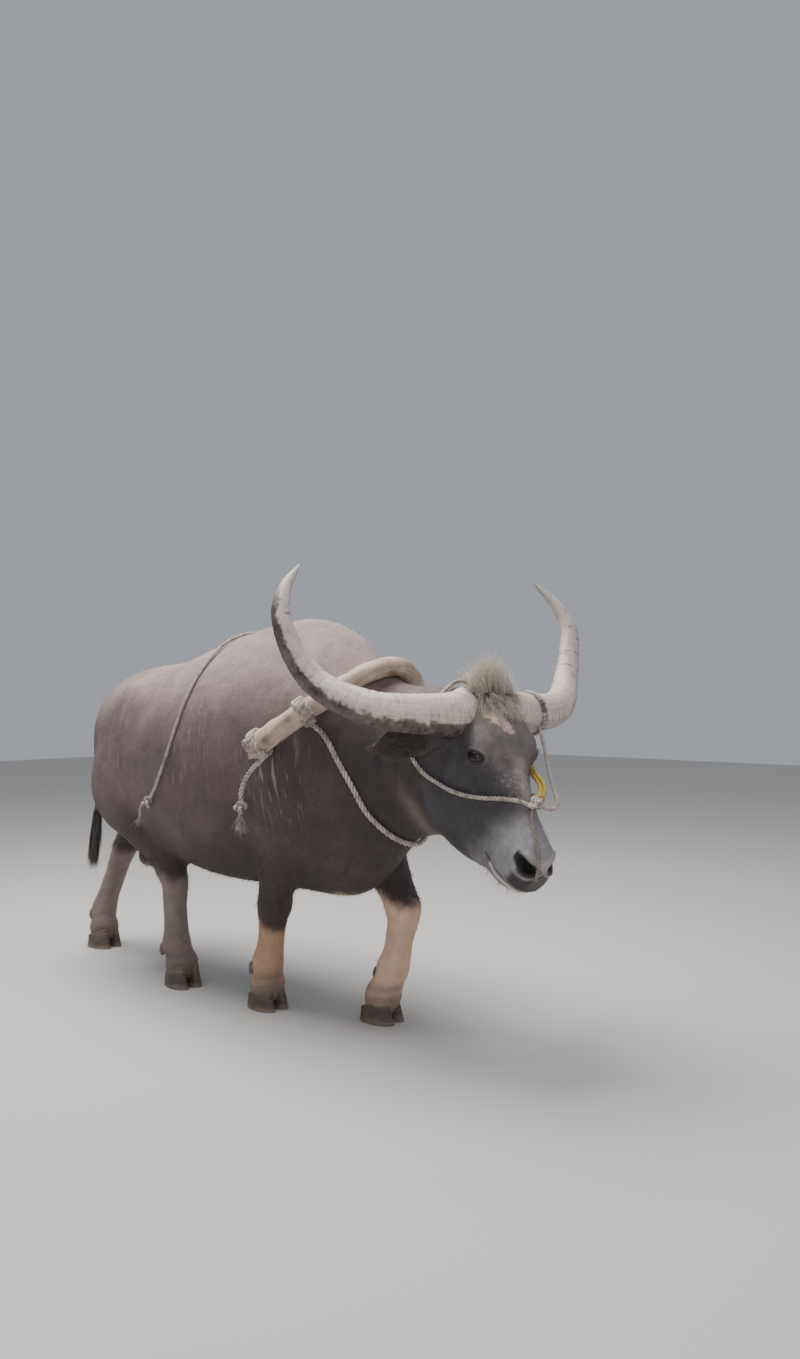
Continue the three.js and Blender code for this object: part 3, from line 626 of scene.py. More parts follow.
def named(node, name, kind="FLOAT"):
    return node("GeometryNodeInputNamedAttribute", {"data_type": kind}, Name=name).outputs["Attribute"]


def finishTree(tree, node, shape, stuff):  # shaded smooth, made real, and given its material
    smooth = node("GeometryNodeSetShadeSmooth", None, Geometry=shape)
    real = node("GeometryNodeRealizeInstances", None, Geometry=smooth.outputs[0])
    dressed = node("GeometryNodeSetMaterial", None, Geometry=real.outputs[0], Material=stuff)
    node("NodeGroupOutput", None, _0=dressed.outputs[0])
    return tree


def grown(obj, tree, **values):  # what a tree makes of the object, as a plain mesh
    modifier = obj.modifiers.new(tree.name, "NODES")
    modifier.node_group = tree
    for socket in tree.interface.items_tree:
        if socket.in_out == "INPUT" and socket.name in values:
            modifier[socket.identifier] = values[socket.name]
    return settled(obj)


def linesObject(name, lines, **values):  # lines of points, with values for each point
    mesh = bpy.data.meshes.new(name)
    edges, first = [], 0
    for line in lines:
        edges += [(first + k, first + k + 1) for k in range(len(line) - 1)]
        first += len(line)
    mesh.from_pydata(toFrame(np.vstack(lines)).tolist(), edges, [])
    obj = bpy.data.objects.new(name, mesh)
    collection.objects.link(obj)
    for key, rows in values.items():
        attribute(obj, key, np.concatenate([np.asarray(r, float) for r in rows]))
    return obj


def ropeTreeMade():  # a rope of three strands laid round each other along each line
    inputs = [("Radius", "Float", 0.006), ("Lay", "Float", 180.0), ("Lobe", "Float", 0.15)]
    tree, node, given = newTree("laidRope", inputs)
    line = node("GeometryNodeMeshToCurve", None, Mesh=given["Geometry"]).outputs[0]
    place = node("GeometryNodeSplineParameter").outputs
    length, share = place["Length"], place["Factor"]
    tilted = node("GeometryNodeSetCurveTilt", None, Curve=line, Tilt=times(node, length, given["Lay"]))
    at = node("GeometryNodeInputPosition").outputs[0]
    split = node("ShaderNodeSeparateXYZ", None, Vector=at).outputs
    angle = reckon(node, "ARCTAN2", split["Y"], split["X"])
    wave = times(node, reckon(node, "COSINE", times(node, angle, 3.0)), given["Lobe"])
    ring = ringOf(node, 15, given["Radius"])
    lobed = node("GeometryNodeSetPosition", None, Geometry=ring, Offset=scaledBy(node, at, wave))
    tube = swept(node, tilted.outputs[0], length, lobed.outputs[0], share)
    return finishTree(tree, node, tube, given["Material"])


def strandTreeMade():  # tapering hairs, one along each line, as thick at each point as it says
    tree, node, given = newTree("hairStrands", [("Radius", "Float", 0.0006)])
    line = node("GeometryNodeMeshToCurve", None, Mesh=given["Geometry"]).outputs[0]
    share = node("GeometryNodeSplineParameter").outputs["Factor"]
    tube = swept(node, line, share, ringOf(node, 3, given["Radius"]), share, Scale=named(node, "thick"))
    return finishTree(tree, node, tube, given["Material"])


ropeTree, strandTree = ropeTreeMade(), strandTreeMade()


# Ropes: old, greyed fibre, darker in the grooves of the lay
ropeLook = {
    "rope": (0.62, 0.54, 0.49),
    "pale": (0.76, 0.68, 0.6),
    "straw": (0.84, 0.58, 0.035),
    "old": (0.36, 0.29, 0.25),
    "dirt": (0.24, 0.185, 0.155),
    "pitch": 3.4,  # diameters in one turn of the lay
    "threads": (260.0, 26.0),  # how fine the yarn is along the rope and round it
}


def fibre(colour):
    def build(node):
        place = onObject(node)
        along, around = measured(node, "along", "around")
        lobe = reckon(node, "COSINE", times(node, around, 6 * math.pi))
        yarn = [times(node, way, fine) for way, fine in zip((along, around), ropeLook["threads"])]
        threads = noise(node, placeAt(node, *yarn, 0.0), 1.0, 3.0)
        mud = ramp(node, noise(node, place, 38.0), (0.42, 0.0), (0.66, 1.0))
        tone = blendColour(node, colour, ropeLook["dirt"], times(node, mud, 0.8))
        tone = toned(node, tone, 0.9, timesPlus(node, lobe, 0.5, 0.5), (0.0, 0.45), (0.5, 1.0))
        tone = toned(node, tone, 0.8, threads, (0.3, 0.7), (0.7, 1.25))
        bump = bumped(node, timesPlus(node, threads, 1.0, noise(node, place, 900.0, 2.0)), 0.6, 0.0012)
        return dict(Base_Color=tone, Roughness=0.85, Sheen_Weight=0.15, Normal=bump)

    return build


ropeFibre, paleFibre, strawFibre, oldFibre = (
    material(name + "Fibre", fibre(ropeLook[name])) for name in ("rope", "pale", "straw", "old")
)


def rope(name, lines, radius, stuff=ropeFibre, lobe=0.15):
    lines = lines if isinstance(lines, list) else [lines]
    sizes = {
        "Radius": radius / 1000, "Lay": 2 * math.pi / (ropeLook["pitch"] * 2 * radius / 1000), "Lobe": lobe,
    }
    return grown(linesObject(name, lines), ropeTree, Material=stuff, **sizes)


def strands(name, lines, thick, radius, stuff, **more):
    return grown(linesObject(name, lines, thick=thick, **more), strandTree, Radius=radius, Material=stuff)


def overhand(centre, size, spin=0.0, tilt=0.0, steps=90):  # the run of an overhand knot, drawn tight
    t = np.linspace(0.3, 2 * math.pi - 0.3, steps)
    x, y, z = np.sin(t) + 2 * np.sin(2 * t), np.cos(t) - 2 * np.cos(2 * t), -1.5 * np.sin(3 * t)
    line = np.stack([x, y, z], -1) * size / 3
    return line @ (turned("x", tilt) @ turned("z", spin)).T + np.asarray(centre, float)


def frayed(root, way, length, count, seed, spreadOut=0.35):  # loose fibres at a rope's end
    draw = np.random.default_rng(seed)
    lines, thick = [], []
    t = np.linspace(0, 1, 6)[:, None]
    for _ in range(count):
        start = np.asarray(root, float) + draw.normal(size=3) * 1.6
        lean = unitRows(np.asarray(way, float) + draw.normal(size=3) * spreadOut * 0.5)
        curl = draw.normal(size=3) * 0.22
        hang = lean * t + curl * t**2 + np.array([0, 0, -0.18]) * t**2
        lines.append(start + hang * length * draw.uniform(0.6, 1.1))
        thick.append(1 - 0.75 * t[:, 0])
    return lines, thick


# The yoke: a peeled crooked branch that lies over the neck before the hump
yokeForm = {
    "right": [
        (470, -338, 930), (540, -330, 972), (610, -300, 1022), (672, -250, 1078), (722, -190, 1128),
        (763, -111, 1178),
    ],
    "top": (793, 0, 1205),
    "half": 31,
    "stout": 1.14,  # the knots and the bark stand proud of the solid
    "rows": [
        (0, 0.55, 0.5), (0.16, 0.98, 0.9), (0.6, 1.05, 1), (2, 0.95, 0.98), (6, 0.95, 0.9),
        (10, 0.95, 0.98), (11.4, 1, 1), (11.84, 0.9, 0.9), (12, 0.5, 0.5),
    ],
}
yokePath = bothSides(yokeForm["right"], yokeForm["top"])


def yokeRings(rings, sides, more=0.0, at=None):
    half = yokeForm["half"] * yokeForm["stout"]
    rows = [(t, depth * half + more, width * half + more, 0) for t, depth, width in yokeForm["rows"]]
    return limbRings(yokePath, rows, rings, sides, 2.2, at)


def aroundYoke(t, sides, more):
    return yokeRings(None, sides, more, t)


def wound(ringsAt, at, half, turns, radius):  # a rope wound round a bar: its line along the bar's rings
    count = 26
    t = np.linspace(at - half, at + half, turns * count + 1)
    rings = ringsAt(t, count, radius * 0.85)
    k = np.arange(len(t))
    return rings[k, k % count]


# Free ropes: one over the back with a knot at each end, and a trace down from each end of the yoke
backForm = {
    "radius": 5.5,
    "half": [
        (-110, -331, 734), (-69, -342, 765), (-41, -347, 800), (14, -354, 880), (45, -349, 950),
        (64, -334, 1021), (72, -307, 1093), (75, -262, 1170), (78, -199, 1244), (79, -121, 1308),
    ],
    "top": (80, 0, 1342),
    "knot": (-122, 334, 720),
    "knotSize": 17,
    "tail": [(-6, 4, -4), (-22, 8, -12), (-34, 7, -30), (-37, 3, -52)],  # from the knot's middle
}
traceForm = {
    "radius": 7.5,
    "path": [
        (530, 335, 912), (506, 328, 898), (474, 318, 883), (440, 310, 864), (410, 306, 840),
        (389, 305, 811), (376, 303, 782), (372, 300, 756),
    ],
    "knot": (371, 302, 734),
    "knotSize": 19,
}


def cordOf(obj, line, radius, pieces, lay):
    path = toFrame(line).tolist()
    length = float(np.linalg.norm(np.diff(line, axis=0), axis=1).sum()) / 1000
    size = {"length": length, "diameter": 2 * radius / 1000}
    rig.cord(
        obj, exit=path[0], far_end="knot", stiffness="limp", lay=lay, path=path, with_pieces=pieces, **size,
    )


backLine = smoothPath(bothSides(backForm["half"], backForm["top"]), 4)
backRope = dress(rope("backRope", backLine, backForm["radius"]), "rope", "back_rope")
knots = []
for side, name in reversed(hands):
    centre = mirrored(backForm["knot"], side)
    knot = rope("backKnot_" + name, overhand(centre, backForm["knotSize"], 40, 70), backForm["radius"])
    tail = centre + mirrored(backForm["tail"], side)
    tailRope = rope("backTail_" + name, smoothPath(tail, 3), backForm["radius"] * 0.8)
    lines, thick = frayed(tail[-1] + (0, 0, 3), (-0.1, 0, -1), 32, 80, 60 + side, 0.45)
    fray = strands("backFray_" + name, lines, thick, 0.0009, ropeFibre)
    knots += [dress(knot, "rope", "back_knot_" + name), dress(tailRope, "rope"), dress(fray, "rope")]
cordOf(backRope, backLine, backForm["radius"], knots, "loose")
for side, name in reversed(hands):
    radius = traceForm["radius"]
    line = smoothPath(mirrored(traceForm["path"], side), 3)
    trace = dress(rope("traceRope_" + name, line, radius), "rope", "trace_" + name)
    centre = mirrored(traceForm["knot"], side)
    knot = rope("traceKnot_" + name, overhand(centre, traceForm["knotSize"], 20, 76), radius * 0.9)
    lines, thick = frayed(centre + (0, 0, -14), (0.02, 0, -1), 56, 120, 70 + side, 0.3)
    fray = dress(strands("traceFray_" + name, lines, thick, 0.0011, ropeFibre), "rope")
    cordOf(trace, line, radius, [dress(knot, "rope", "trace_knot_" + name), fray], "hanging")
    binding = rope("traceBinding_" + name, wound(aroundYoke, 6 + side * 5.45, 0.16, 4, radius), radius)
    dress(binding, "rope", "trace_binding_" + name)
print("cords made")

# The trunk with the neck: place, top x z, bottom x z, half width, shift, turn, narrowing, rounding
trunkForm = {
    "rows": [
        (0, -806, 1010, -806, 930, 46, 0, 0, 0.2, 0.1, 2.1),
        (1, -784, 1086, -776, 815, 118, 0, 0, 0.22, 0.12, 2.1),
        (2, -728, 1152, -716, 700, 190, 0, 0, 0.24, 0.14, 2.15),
        (3, -640, 1200, -640, 612, 244, 0, 0, 0.25, 0.14, 2.2),
        (4, -480, 1228, -480, 540, 286, 0, 0, 0.24, 0.12, 2.3),
        (5, -250, 1246, -250, 470, 326, 0, 0, 0.22, 0.08, 2.3),
        (6, 0, 1312, 0, 430, 352, 0, 0, 0.26, 0.08, 2.25),
        (7, 227, 1364, 227, 425, 338, 0, 0, 0.32, 0.14, 2.2),
        (8, 430, 1380, 430, 425, 302, 0, 0, 0.34, 0.22, 2.15),
        (9, 575, 1336, 590, 432, 284, 0, 0, 0.34, 0.3, 2.15),
        (10, 682, 1258, 715, 486, 250, 0, -1, 0.34, 0.3, 2.1),
        (11, 766, 1180, 790, 566, 212, -1, -3, 0.32, 0.26, 2.1),
        (12, 855, 1146, 864, 632, 178, -4, -6, 0.3, 0.26, 2.1),
        (13, 965, 1138, 956, 660, 150, -10, -10, 0.3, 0.26, 2.15),
        (14, 1080, 1138, 1034, 676, 128, -22, -14, 0.25, 0.26, 2.2),
        (15, 1165, 1118, 1092, 724, 104, -36, -15.6, 0.2, 0.3, 2.2),
    ],
    "swellings": [
        (-430, 235, 1130, 70, 70, 60, 26),
        (-745, 95, 1050, 60, 50, 55, 16),
        (-300, 300, 1010, 110, 90, 120, -26),
        (520, 250, 900, 130, 120, 240, 22),
        (700, 190, 790, 75, 80, 80, 24),
        (330, 300, 720, 60, 120, 150, -16),
        (120, 330, 760, 190, 90, 190, 10),
        (-130, 0, 450, 130, 60, 60, 14),
        (640, 0, 470, 110, 70, 70, 14),
        (800, 0, 640, 60, 60, 90, 12),
    ],
}
headForm = {
    "rows": [
        (0, -52, -60, -30, -170, 52, 0, 0, 0.1, 0.2, 2.2),
        (1, -30, -8, 8, -270, 98, 0, 0, 0.1, 0.24, 2.3),
        (2, 18, 18, 56, -362, 122, 0, 0, 0.1, 0.3, 2.5),
        (3, 82, 26, 116, -420, 132, 0, 0, 0.12, 0.36, 2.7),
        (4, 144, 23, 182, -446, 135, 0, 0, 0.14, 0.4, 2.8),
        (5, 204, 12, 248, -444, 128, 0, 0, 0.18, 0.4, 2.7),
        (6, 262, -4, 310, -420, 106, 0, 0, 0.32, 0.32, 2.4),
        (7, 320, -18, 368, -382, 86, 0, 0, 0.42, 0.22, 2.3),
        (8, 378, -30, 422, -334, 72, 0, 0, 0.44, 0.1, 2.3),
        (9, 434, -40, 470, -292, 67, 0, 0, 0.4, 0.04, 2.4),
        (10, 486, -49, 514, -262, 69, 0, 0, 0.28, 0.04, 2.5),
        (11, 528, -62, 546, -236, 67, 0, 0, 0.22, 0.08, 2.5),
        (12, 560, -86, 574, -208, 54, 0, 0, 0.18, 0.12, 2.4),
        (13, 578, -112, 588, -176, 33, 0, 0, 0.1, 0.1, 2.2),
    ],
    "swellings": [
        (196, 116, -36, 52, 46, 40, 27),
        (272, 92, -130, 80, 40, 30, 9),
        (206, 96, -312, 84, 60, 90, 14),
        (384, 72, -240, 46, 50, 50, -5),
        (112, 128, -104, 42, 40, 40, -9),
        (522, 54, -88, 32, 28, 28, 9),
        (500, 70, -204, 36, 30, 26, 7),
        (440, 0, -290, 44, 44, 30, -8),
    ],
}
legForm = {
    "leftFore": [
        (490, 140, 860), (515, 150, 690), (618, 150, 520), (724, 118, 378), (722, 104, 280), (706, 94, 186),
        (672, 80, 92), (656, 78, 28),
    ],
    "rightFore": [
        (470, -140, 860), (452, -150, 690), (392, -142, 520), (336, -122, 378), (308, -108, 275),
        (278, -96, 168), (260, -86, 88), (252, -84, 28),
    ],
    "leftHind": [
        (-520, 160, 1000), (-566, 196, 770), (-710, 156, 612), (-874, 92, 474), (-944, 62, 310),
        (-992, 40, 160), (-980, 30, 88), (-974, 26, 28),
    ],
    "rightHind": [
        (-500, -160, 1000), (-440, -204, 770), (-330, -190, 600), (-244, -134, 436), (-236, -126, 296),
        (-226, -122, 158), (-204, -119, 88), (-198, -118, 28),
    ],
    "fore": [
        (0, 90, 60, 0), (1, 128, 88, 0), (2, 84, 66, 0), (2.6, 64, 55, 0), (3, 64, 58, 4), (3.4, 54, 50, 0),
        (4, 48, 45, 0), (4.6, 50, 47, 0), (5, 58, 54, -4), (5.5, 50, 53, 0), (6, 62, 64, 0), (7, 46, 48, 0),
    ],
    "hind": [
        (0, 120, 80, 0), (1, 200, 100, 0), (2, 124, 72, 0), (2.6, 82, 52, 0), (3, 70, 50, -8),
        (3.4, 56, 46, 0), (4, 46, 43, 0), (4.6, 48, 45, 0), (5, 58, 52, -4), (5.5, 50, 52, 0),
        (6, 61, 63, 0), (7, 46, 48, 0),
    ],
}
feet = {
    "leftFore": (662, 78, 4),
    "rightFore": (258, -84, -4),
    "leftHind": (-972, 26, 5),
    "rightHind": (-196, -118, -6),
}
tailForm = {
    "path": [
        (-735, 0, 1100), (-800, -4, 1078), (-850, -14, 1000), (-866, -34, 860), (-868, -58, 720),
        (-866, -78, 600), (-866, -92, 500), (-866, -100, 400),
    ],
    "profile": [
        (0, 34, 36, 0), (1, 34, 36, 0), (2, 26, 26, 0), (3, 19, 19, 0), (4, 15, 15, 0), (5, 14, 14, 0),
        (5.6, 11, 11, 0), (6, 6, 6, 0),
    ],
}
scrotumForm = {
    "path": [(-560, -6, 640), (-556, -8, 520), (-548, -10, 440), (-546, -10, 400)],
    "profile": [(0, 50, 44, 0), (1, 54, 50, 0), (2, 58, 58, 0), (2.7, 38, 40, 0), (3, 8, 8, 0)],
}
earForm = {
    "root": (92, 106, -132),
    "way": (-0.3, 0.86, -0.42),
    "back": (-0.55, -0.25, -0.75),
    "droop": 34,
    "length": 235,
    "wall": 8.5,  # thicker than life inside the roll, thin at the rim
    "rows": [
        (0, 26, 24, -22), (0.12, 30, 27, -20), (0.26, 44, 32, 6), (0.45, 57, 34, 24), (0.65, 56, 28, 21),
        (0.84, 38, 18, 12), (0.95, 18, 9, 4), (1, 6, 4, 0),
    ],
}
eyeForm = {
    "place": (206, 97, -60),
    "out": (0.2, 1, 0.28),
    "along": (0.76, 0, 0.65),
    "radius": 23,
    "across": 28,
    "up": 17,
}
nostrilForm = {
    "place": (550, 51, -97.0),
    "along": (14.0, -40, -16),
    "out": (0.6, 0.6, 0.5),
    "curl": 0.012,
}


def headMask(p, local):
    return (local[:, 0] > -60) & (p[:, 0] > 1040)


def earFrame(side):  # the ear's root, the way it points, its back and its breadth, in the head's frame
    way = unitRows(mirrored(earForm["way"], side))
    back = squareTo(mirrored(earForm["back"], side), way)
    return mirrored(earForm["root"], side), way, back, np.cross(way, back)


def eyeFrame(side):  # the eye's middle, and the ways out of it, along it and up
    out = unitRows(mirrored(eyeForm["out"], side))
    along = squareTo(np.array(eyeForm["along"]), out)
    return mirrored(eyeForm["place"], side), out, along, np.cross(out, along) * -side


def fromEye(local, side):  # how far from the eye's middle, in eyes, how far out of it and how far up
    centre, out, along, up = eyeFrame(side)
    d = local - centre
    return np.hypot(d @ along / eyeForm["across"], d @ up / eyeForm["up"]), d @ out, d @ up


def fromNostril(local, side, long, wide):  # the same for a nostril: a comma that opens outwards
    along = unitRows(mirrored(nostrilForm["along"], side))
    out = squareTo(mirrored(nostrilForm["out"], side), along)
    d = local - mirrored(nostrilForm["place"], side)
    curl = d @ np.cross(out, along) * side + nostrilForm["curl"] * (d @ along) ** 2
    return np.hypot(d @ along / long, curl / wide), d @ out


def earRings(side, rings, arc):
    root, way, back, across = earFrame(side)
    t = spread(earForm["rows"], rings)
    row = rowAt(earForm["rows"], t)
    droop = -earForm["droop"] * t**2
    middle = root + way * (earForm["length"] * t)[:, None]
    middle = middle + np.column_stack([-droop * 0.8, np.zeros(rings), droop * 0.6])
    half, deep, hollow = row[:, 1:2], row[:, 2:3], row[:, 3:4]
    angle = math.pi * (np.arange(arc) / (arc - 1) - 0.5)
    broad = across * (half * np.sin(angle))[..., None]
    outer = middle[:, None] + broad + back * (deep * np.cos(angle))[..., None]
    angle = math.pi * (0.5 - (np.arange(arc - 2) + 1) / (arc - 1))
    hollow = np.minimum(hollow, deep - earForm["wall"])
    broad = across * ((half - 5 * np.cos(angle)) * np.sin(angle))[..., None]
    within = middle[:, None] + broad + back * (hollow * np.cos(angle))[..., None]
    return np.concatenate([outer, within], 1)


# Skin: the forms joined by a voxel remesh, smoothed where they meet, then given folds and features
skinLook = {
    "coarse": 10.0,  # voxel of the trunk and legs, in millimetres
    "fine": 6.5 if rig.quick() else 4.2,  # voxel of the whole
    "blend": 60,  # rounds of smoothing where the legs grow out of the trunk
    "blendHead": 24,
    "bodySides": (150, 110),  # rings, and points on each
    "legSides": (90, 44),
    "tailSides": (90, 26),
    "earSides": (70, 26),
    "scrotumSides": (26, 26),
    "triangles": 190000,
}
trunk = bodyRings(trunkForm, *skinLook["bodySides"])
legRings = {
    name: limbRings(legForm[name], legForm["hind" if "Hind" in name else "fore"], *skinLook["legSides"])
    for name in feet
}
scrotum = limbRings(scrotumForm["path"], scrotumForm["profile"], *skinLook["scrotumSides"])
parts = [loft(trunk), loft(scrotum)] + [loft(r) for r in legRings.values()]
skin = remeshed(outwards(meshObject("skin", *together(parts))), skinLook["coarse"])
p = placesOf(skin)
between = 0.85 * hump(p[:, 0], -548, 70) * hump(p[:, 1], -8, 70) * (p[:, 2] < 520)
weigh(skin, "body", np.clip(smoothStep(360, 560, p[:, 2]) * (1 - between), 0.06, 1))
softened(skin, skinLook["blend"], "body")
p, n = placesOf(skin), normalsOf(skin)
putPlaces(skin, p + n * 1.6 * smoothStep(360, 560, p[:, 2])[:, None])
print("trunk and legs joined", len(skin.data.vertices))

headSkin = bodyRings(headForm, *skinLook["bodySides"])
earSkins = {side: earRings(side, *skinLook["earSides"]) for side in (1, -1)}
tail = limbRings(tailForm["path"], tailForm["profile"], *skinLook["tailSides"])
more = [loft(fromHead(headSkin)), loft(tail)] + [loft(fromHead(e)) for e in earSkins.values()]
joined = outwards(meshObject("skin", *together(more)))
whole = together([(placesOf(obj), facesOf(obj)) for obj in (skin, joined)])
for obj in (skin, joined):
    bpy.data.objects.remove(obj)
skin = remeshed(meshObject("skin", *whole), skinLook["fine"])
p = placesOf(skin)
throat = cloud(p, (1070, -20, 820), (110, 260, 190))
crown = cloud(p, (1150, -20, 1100), (60, 160, 70))
dock = cloud(p, (-780, 0, 1080), (60, 70, 70))
weigh(skin, "meet", np.clip(throat * 1.2 + crown + dock + 0.1, 0, 1))
softened(skin, skinLook["blendHead"], "meet")
print("whole skin", len(skin.data.vertices))


# Folds and features are pushed into the skin along its normals
def alongLine(points, line, reach):  # distance to a line, and how far along it, for points nearby
    line = np.asarray(line, float)
    low, high = line.min(0) - reach, line.max(0) + reach
    near = np.nonzero(((points > low) & (points < high)).all(1))[0]
    best = np.full(len(near), 1e9)
    share = np.zeros(len(near))
    total = len(line) - 1
    for k in range(total):
        a, b = line[k], line[k + 1]
        ab = b - a
        t = np.clip(((points[near] - a) @ ab) / (ab @ ab), 0, 1)
        d = np.linalg.norm(points[near] - (a + t[:, None] * ab), axis=1)
        closer = d < best
        best[closer] = d[closer]
        share[closer] = (k + t[closer]) / total
    return near, best, share


def fold(points, push, line, width, depth, lip=0.4):
    near, d, share = alongLine(points, smoothPath(line, width * 0.8), width * 4)
    fade = np.sin(math.pi * np.clip(share, 0.02, 0.98)) ** 0.6
    push[near] += (-depth * hump(d, 0, width) + lip * depth * hump(d, 2.1 * width, width)) * fade


def toMouth(p, local, reach):  # the points near the mouth's line, and how far they are from it
    near, d, _ = alongLine(local * (1, 0, 1), smoothPath(mouthLine, 6), reach)
    return near, d, headMask(p, local)[near] & (local[near, 0] > 425)


mouthLine = np.array([(432, 0, -226), (460, 0, -218), (492, 0, -208), (530, 0, -194), (600, 0, -182)])
bodyFolds = [  # points of the line, width, depth; each on both sides
    ([(330, 290, 560), (352, 300, 660), (368, 316, 760), (372, 318, 860)], 20, 8),  # behind the elbow
    ([(300, 240, 500), (270, 262, 560), (262, 290, 640)], 18, 6),
    ([(-250, 250, 560), (-270, 300, 640), (-320, 310, 740), (-350, 296, 850)], 24, 9),  # flank to stifle
    ([(-215, 240, 520), (-210, 290, 600), (-240, 316, 700)], 18, 5),
    # shoulder point
    ([(560, 262, 620), (600, 262, 720), (620, 262, 830), (600, 268, 960), (560, 250, 1080)], 26, 7),
    ([(-700, 175, 1020), (-690, 214, 920), (-680, 220, 800)], 26, 5),  # back of the thigh
    ([(-560, 268, 1130), (-500, 300, 1010), (-470, 310, 900)], 34, 5),
    ([(60, 350, 620), (70, 352, 780), (60, 330, 960)], 30, 2.4),  # a hint of the ribs
    ([(-20, 350, 620), (-14, 352, 780), (-30, 330, 960)], 30, 2.6),
    ([(-100, 345, 620), (-96, 348, 780), (-115, 326, 960)], 30, 2.8),
    ([(-180, 336, 640), (-176, 338, 780), (-200, 318, 940)], 30, 2.4),
    ([(870, 178, 1030), (885, 170, 930), (880, 160, 830), (862, 130, 720)], 12, 4.5),  # across the neck
    ([(930, 160, 1060), (946, 156, 950), (940, 146, 850), (920, 116, 740)], 11, 4),
    ([(985, 140, 1070), (1000, 142, 980), (996, 132, 880), (975, 104, 770)], 10, 4),
    ([(1040, 124, 1060), (1050, 128, 980), (1046, 122, 900)], 9, 3.5),
    ([(820, 196, 1010), (826, 190, 900), (820, 176, 800)], 14, 5),
    ([(640, 90, 470), (700, 110, 540), (752, 120, 620)], 16, 5),  # brisket
    ([(700, 40, 500), (760, 60, 580), (806, 70, 660)], 14, 5),
]
headFolds = [
    ([(150, 100, -18), (186, 112, -14), (222, 104, -22)], 5, 4.2),  # over the eye
    ([(160, 108, -8), (196, 116, 2), (236, 100, -10)], 5, 3.4),
    ([(236, 104, -44), (254, 96, -66), (272, 92, -96)], 6, 3.4),  # in front of it
    ([(226, 112, -96), (262, 100, -112), (300, 88, -124)], 7, 5.2),  # tear groove
    ([(180, 120, -102), (206, 124, -108), (236, 116, -106)], 5, 4),
    ([(300, 86, -90), (340, 78, -150), (372, 72, -210)], 12, 3),
    ([(438, 66, -226), (428, 68, -244), (410, 70, -262)], 6, 4),  # corner of the mouth
    ([(446, 68, -200), (452, 70, -216)], 6, 3),
    ([(500, 62, -120), (520, 66, -142), (540, 62, -168)], 6, 2.6),  # beside the nose
    ([(478, 66, -104), (496, 70, -136), (506, 68, -176)], 7, 2.6),
    ([(456, 66, -90), (470, 70, -130), (478, 70, -176)], 8, 2.2),
    ([(240, 110, -400), (200, 124, -340), (150, 134, -300)], 12, 4),  # jaw
    ([(100, 126, -300), (110, 132, -240), (100, 130, -190)], 10, 4),
]
p, n = placesOf(skin), normalsOf(skin)
local = toHead(p)
isHead = headMask(p, local)
push = 1.6 * waves(p, 190, 5) + 0.7 * waves(p, 70, 6) * (p[:, 2] > 300)
for line, width, depth in bodyFolds:
    for side in (1, -1):
        turnedNeck = [
            (x, y * side - (24 * smoothStep(880, 1080, x) if x > 880 else 0), z) for x, y, z in line
        ]
        fold(p, push, turnedNeck, width, depth)
headPush = np.zeros(len(p))
for line, width, depth in headFolds:
    for side in (1, -1):
        fold(local, headPush, mirrored(line, side), width, depth)
push += np.where(isHead, headPush, 0)
neckZone = smoothStep(800, 900, p[:, 0]) * (1 - smoothStep(60, 160, local[:, 0]))
neckCreases = np.sin(p[:, 0] / 7.5 + 2.2 * waves(p, 120, 8)) * smoothStep(-0.4, 0.5, waves(p, 150, 9))
push += neckZone * 1.8 * neckCreases
for side in (1, -1):
    e, out, up = fromEye(local, side)
    lids = 5.2 * hump(e, 1.28, 0.26) * np.where(up > 0, 1.25, 0.85)
    push += np.where(isHead & (out > -8) & (e < 2.6), -16 * (1 - smoothStep(0.62, 1.0, e)) + lids, 0)
    e, out = fromNostril(local, side, 34, 18)
    rim = 4.5 * hump(e, 1.35, 0.26)
    push += np.where(isHead & (out > -26) & (e < 3), -30 * (1 - smoothStep(0.4, 1.05, e)) + rim, 0)
near, d, inMouth = toMouth(p, local, 60)
push[near] += np.where(inMouth, -6.5 * hump(d, 0, 5.0) + 2.2 * hump(d, 9, 8), 0)
push = np.where(p[:, 2] < 120, push * 0.4, push)
putPlaces(skin, p + n * push[:, None])
print("folds done")

# Fewer triangles on the trunk, most of them kept for the head
triangles = trianglesOf(skin)
p = placesOf(skin)
weigh(skin, "thin", 1 - 0.75 * smoothStep(-120, 0, toHead(p)[:, 0]) * (p[:, 0] > 1000))
thin = skin.modifiers.new("thin", "DECIMATE")
thin.ratio = min(1.0, skinLook["triangles"] / triangles)
thin.vertex_group, thin.vertex_group_factor = "thin", 1.0
softened(settled(skin), 2)
shadeSmooth(skin.data)
skin.vertex_groups.clear()
print("skin thinned from", triangles, "to", trianglesOf(skin))


# Where each part of the skin lies on a flat plan: the hairs take their place on it from here
planForm = {
    "trunk": (trunk, (0.02, 0.02, 0.5, 0.6)),
    "head": (fromHead(headSkin), (0.52, 0.02, 0.8, 0.5)),
    "earLeft": (fromHead(earSkins[1]), (0.82, 0.02, 0.97, 0.2)),
    "earRight": (fromHead(earSkins[-1]), (0.82, 0.24, 0.97, 0.42)),
    "leftFore": (legRings["leftFore"], (0.02, 0.64, 0.2, 0.97)),
    "rightFore": (legRings["rightFore"], (0.22, 0.64, 0.4, 0.97)),
    "leftHind": (legRings["leftHind"], (0.42, 0.64, 0.6, 0.97)),
    "rightHind": (legRings["rightHind"], (0.62, 0.64, 0.8, 0.97)),
    "tail": (tail, (0.84, 0.5, 0.9, 0.97)),
    "scrotum": (scrotum, (0.92, 0.5, 0.98, 0.7)),
}
planPoints, planPlaces, planLies = [], [], []
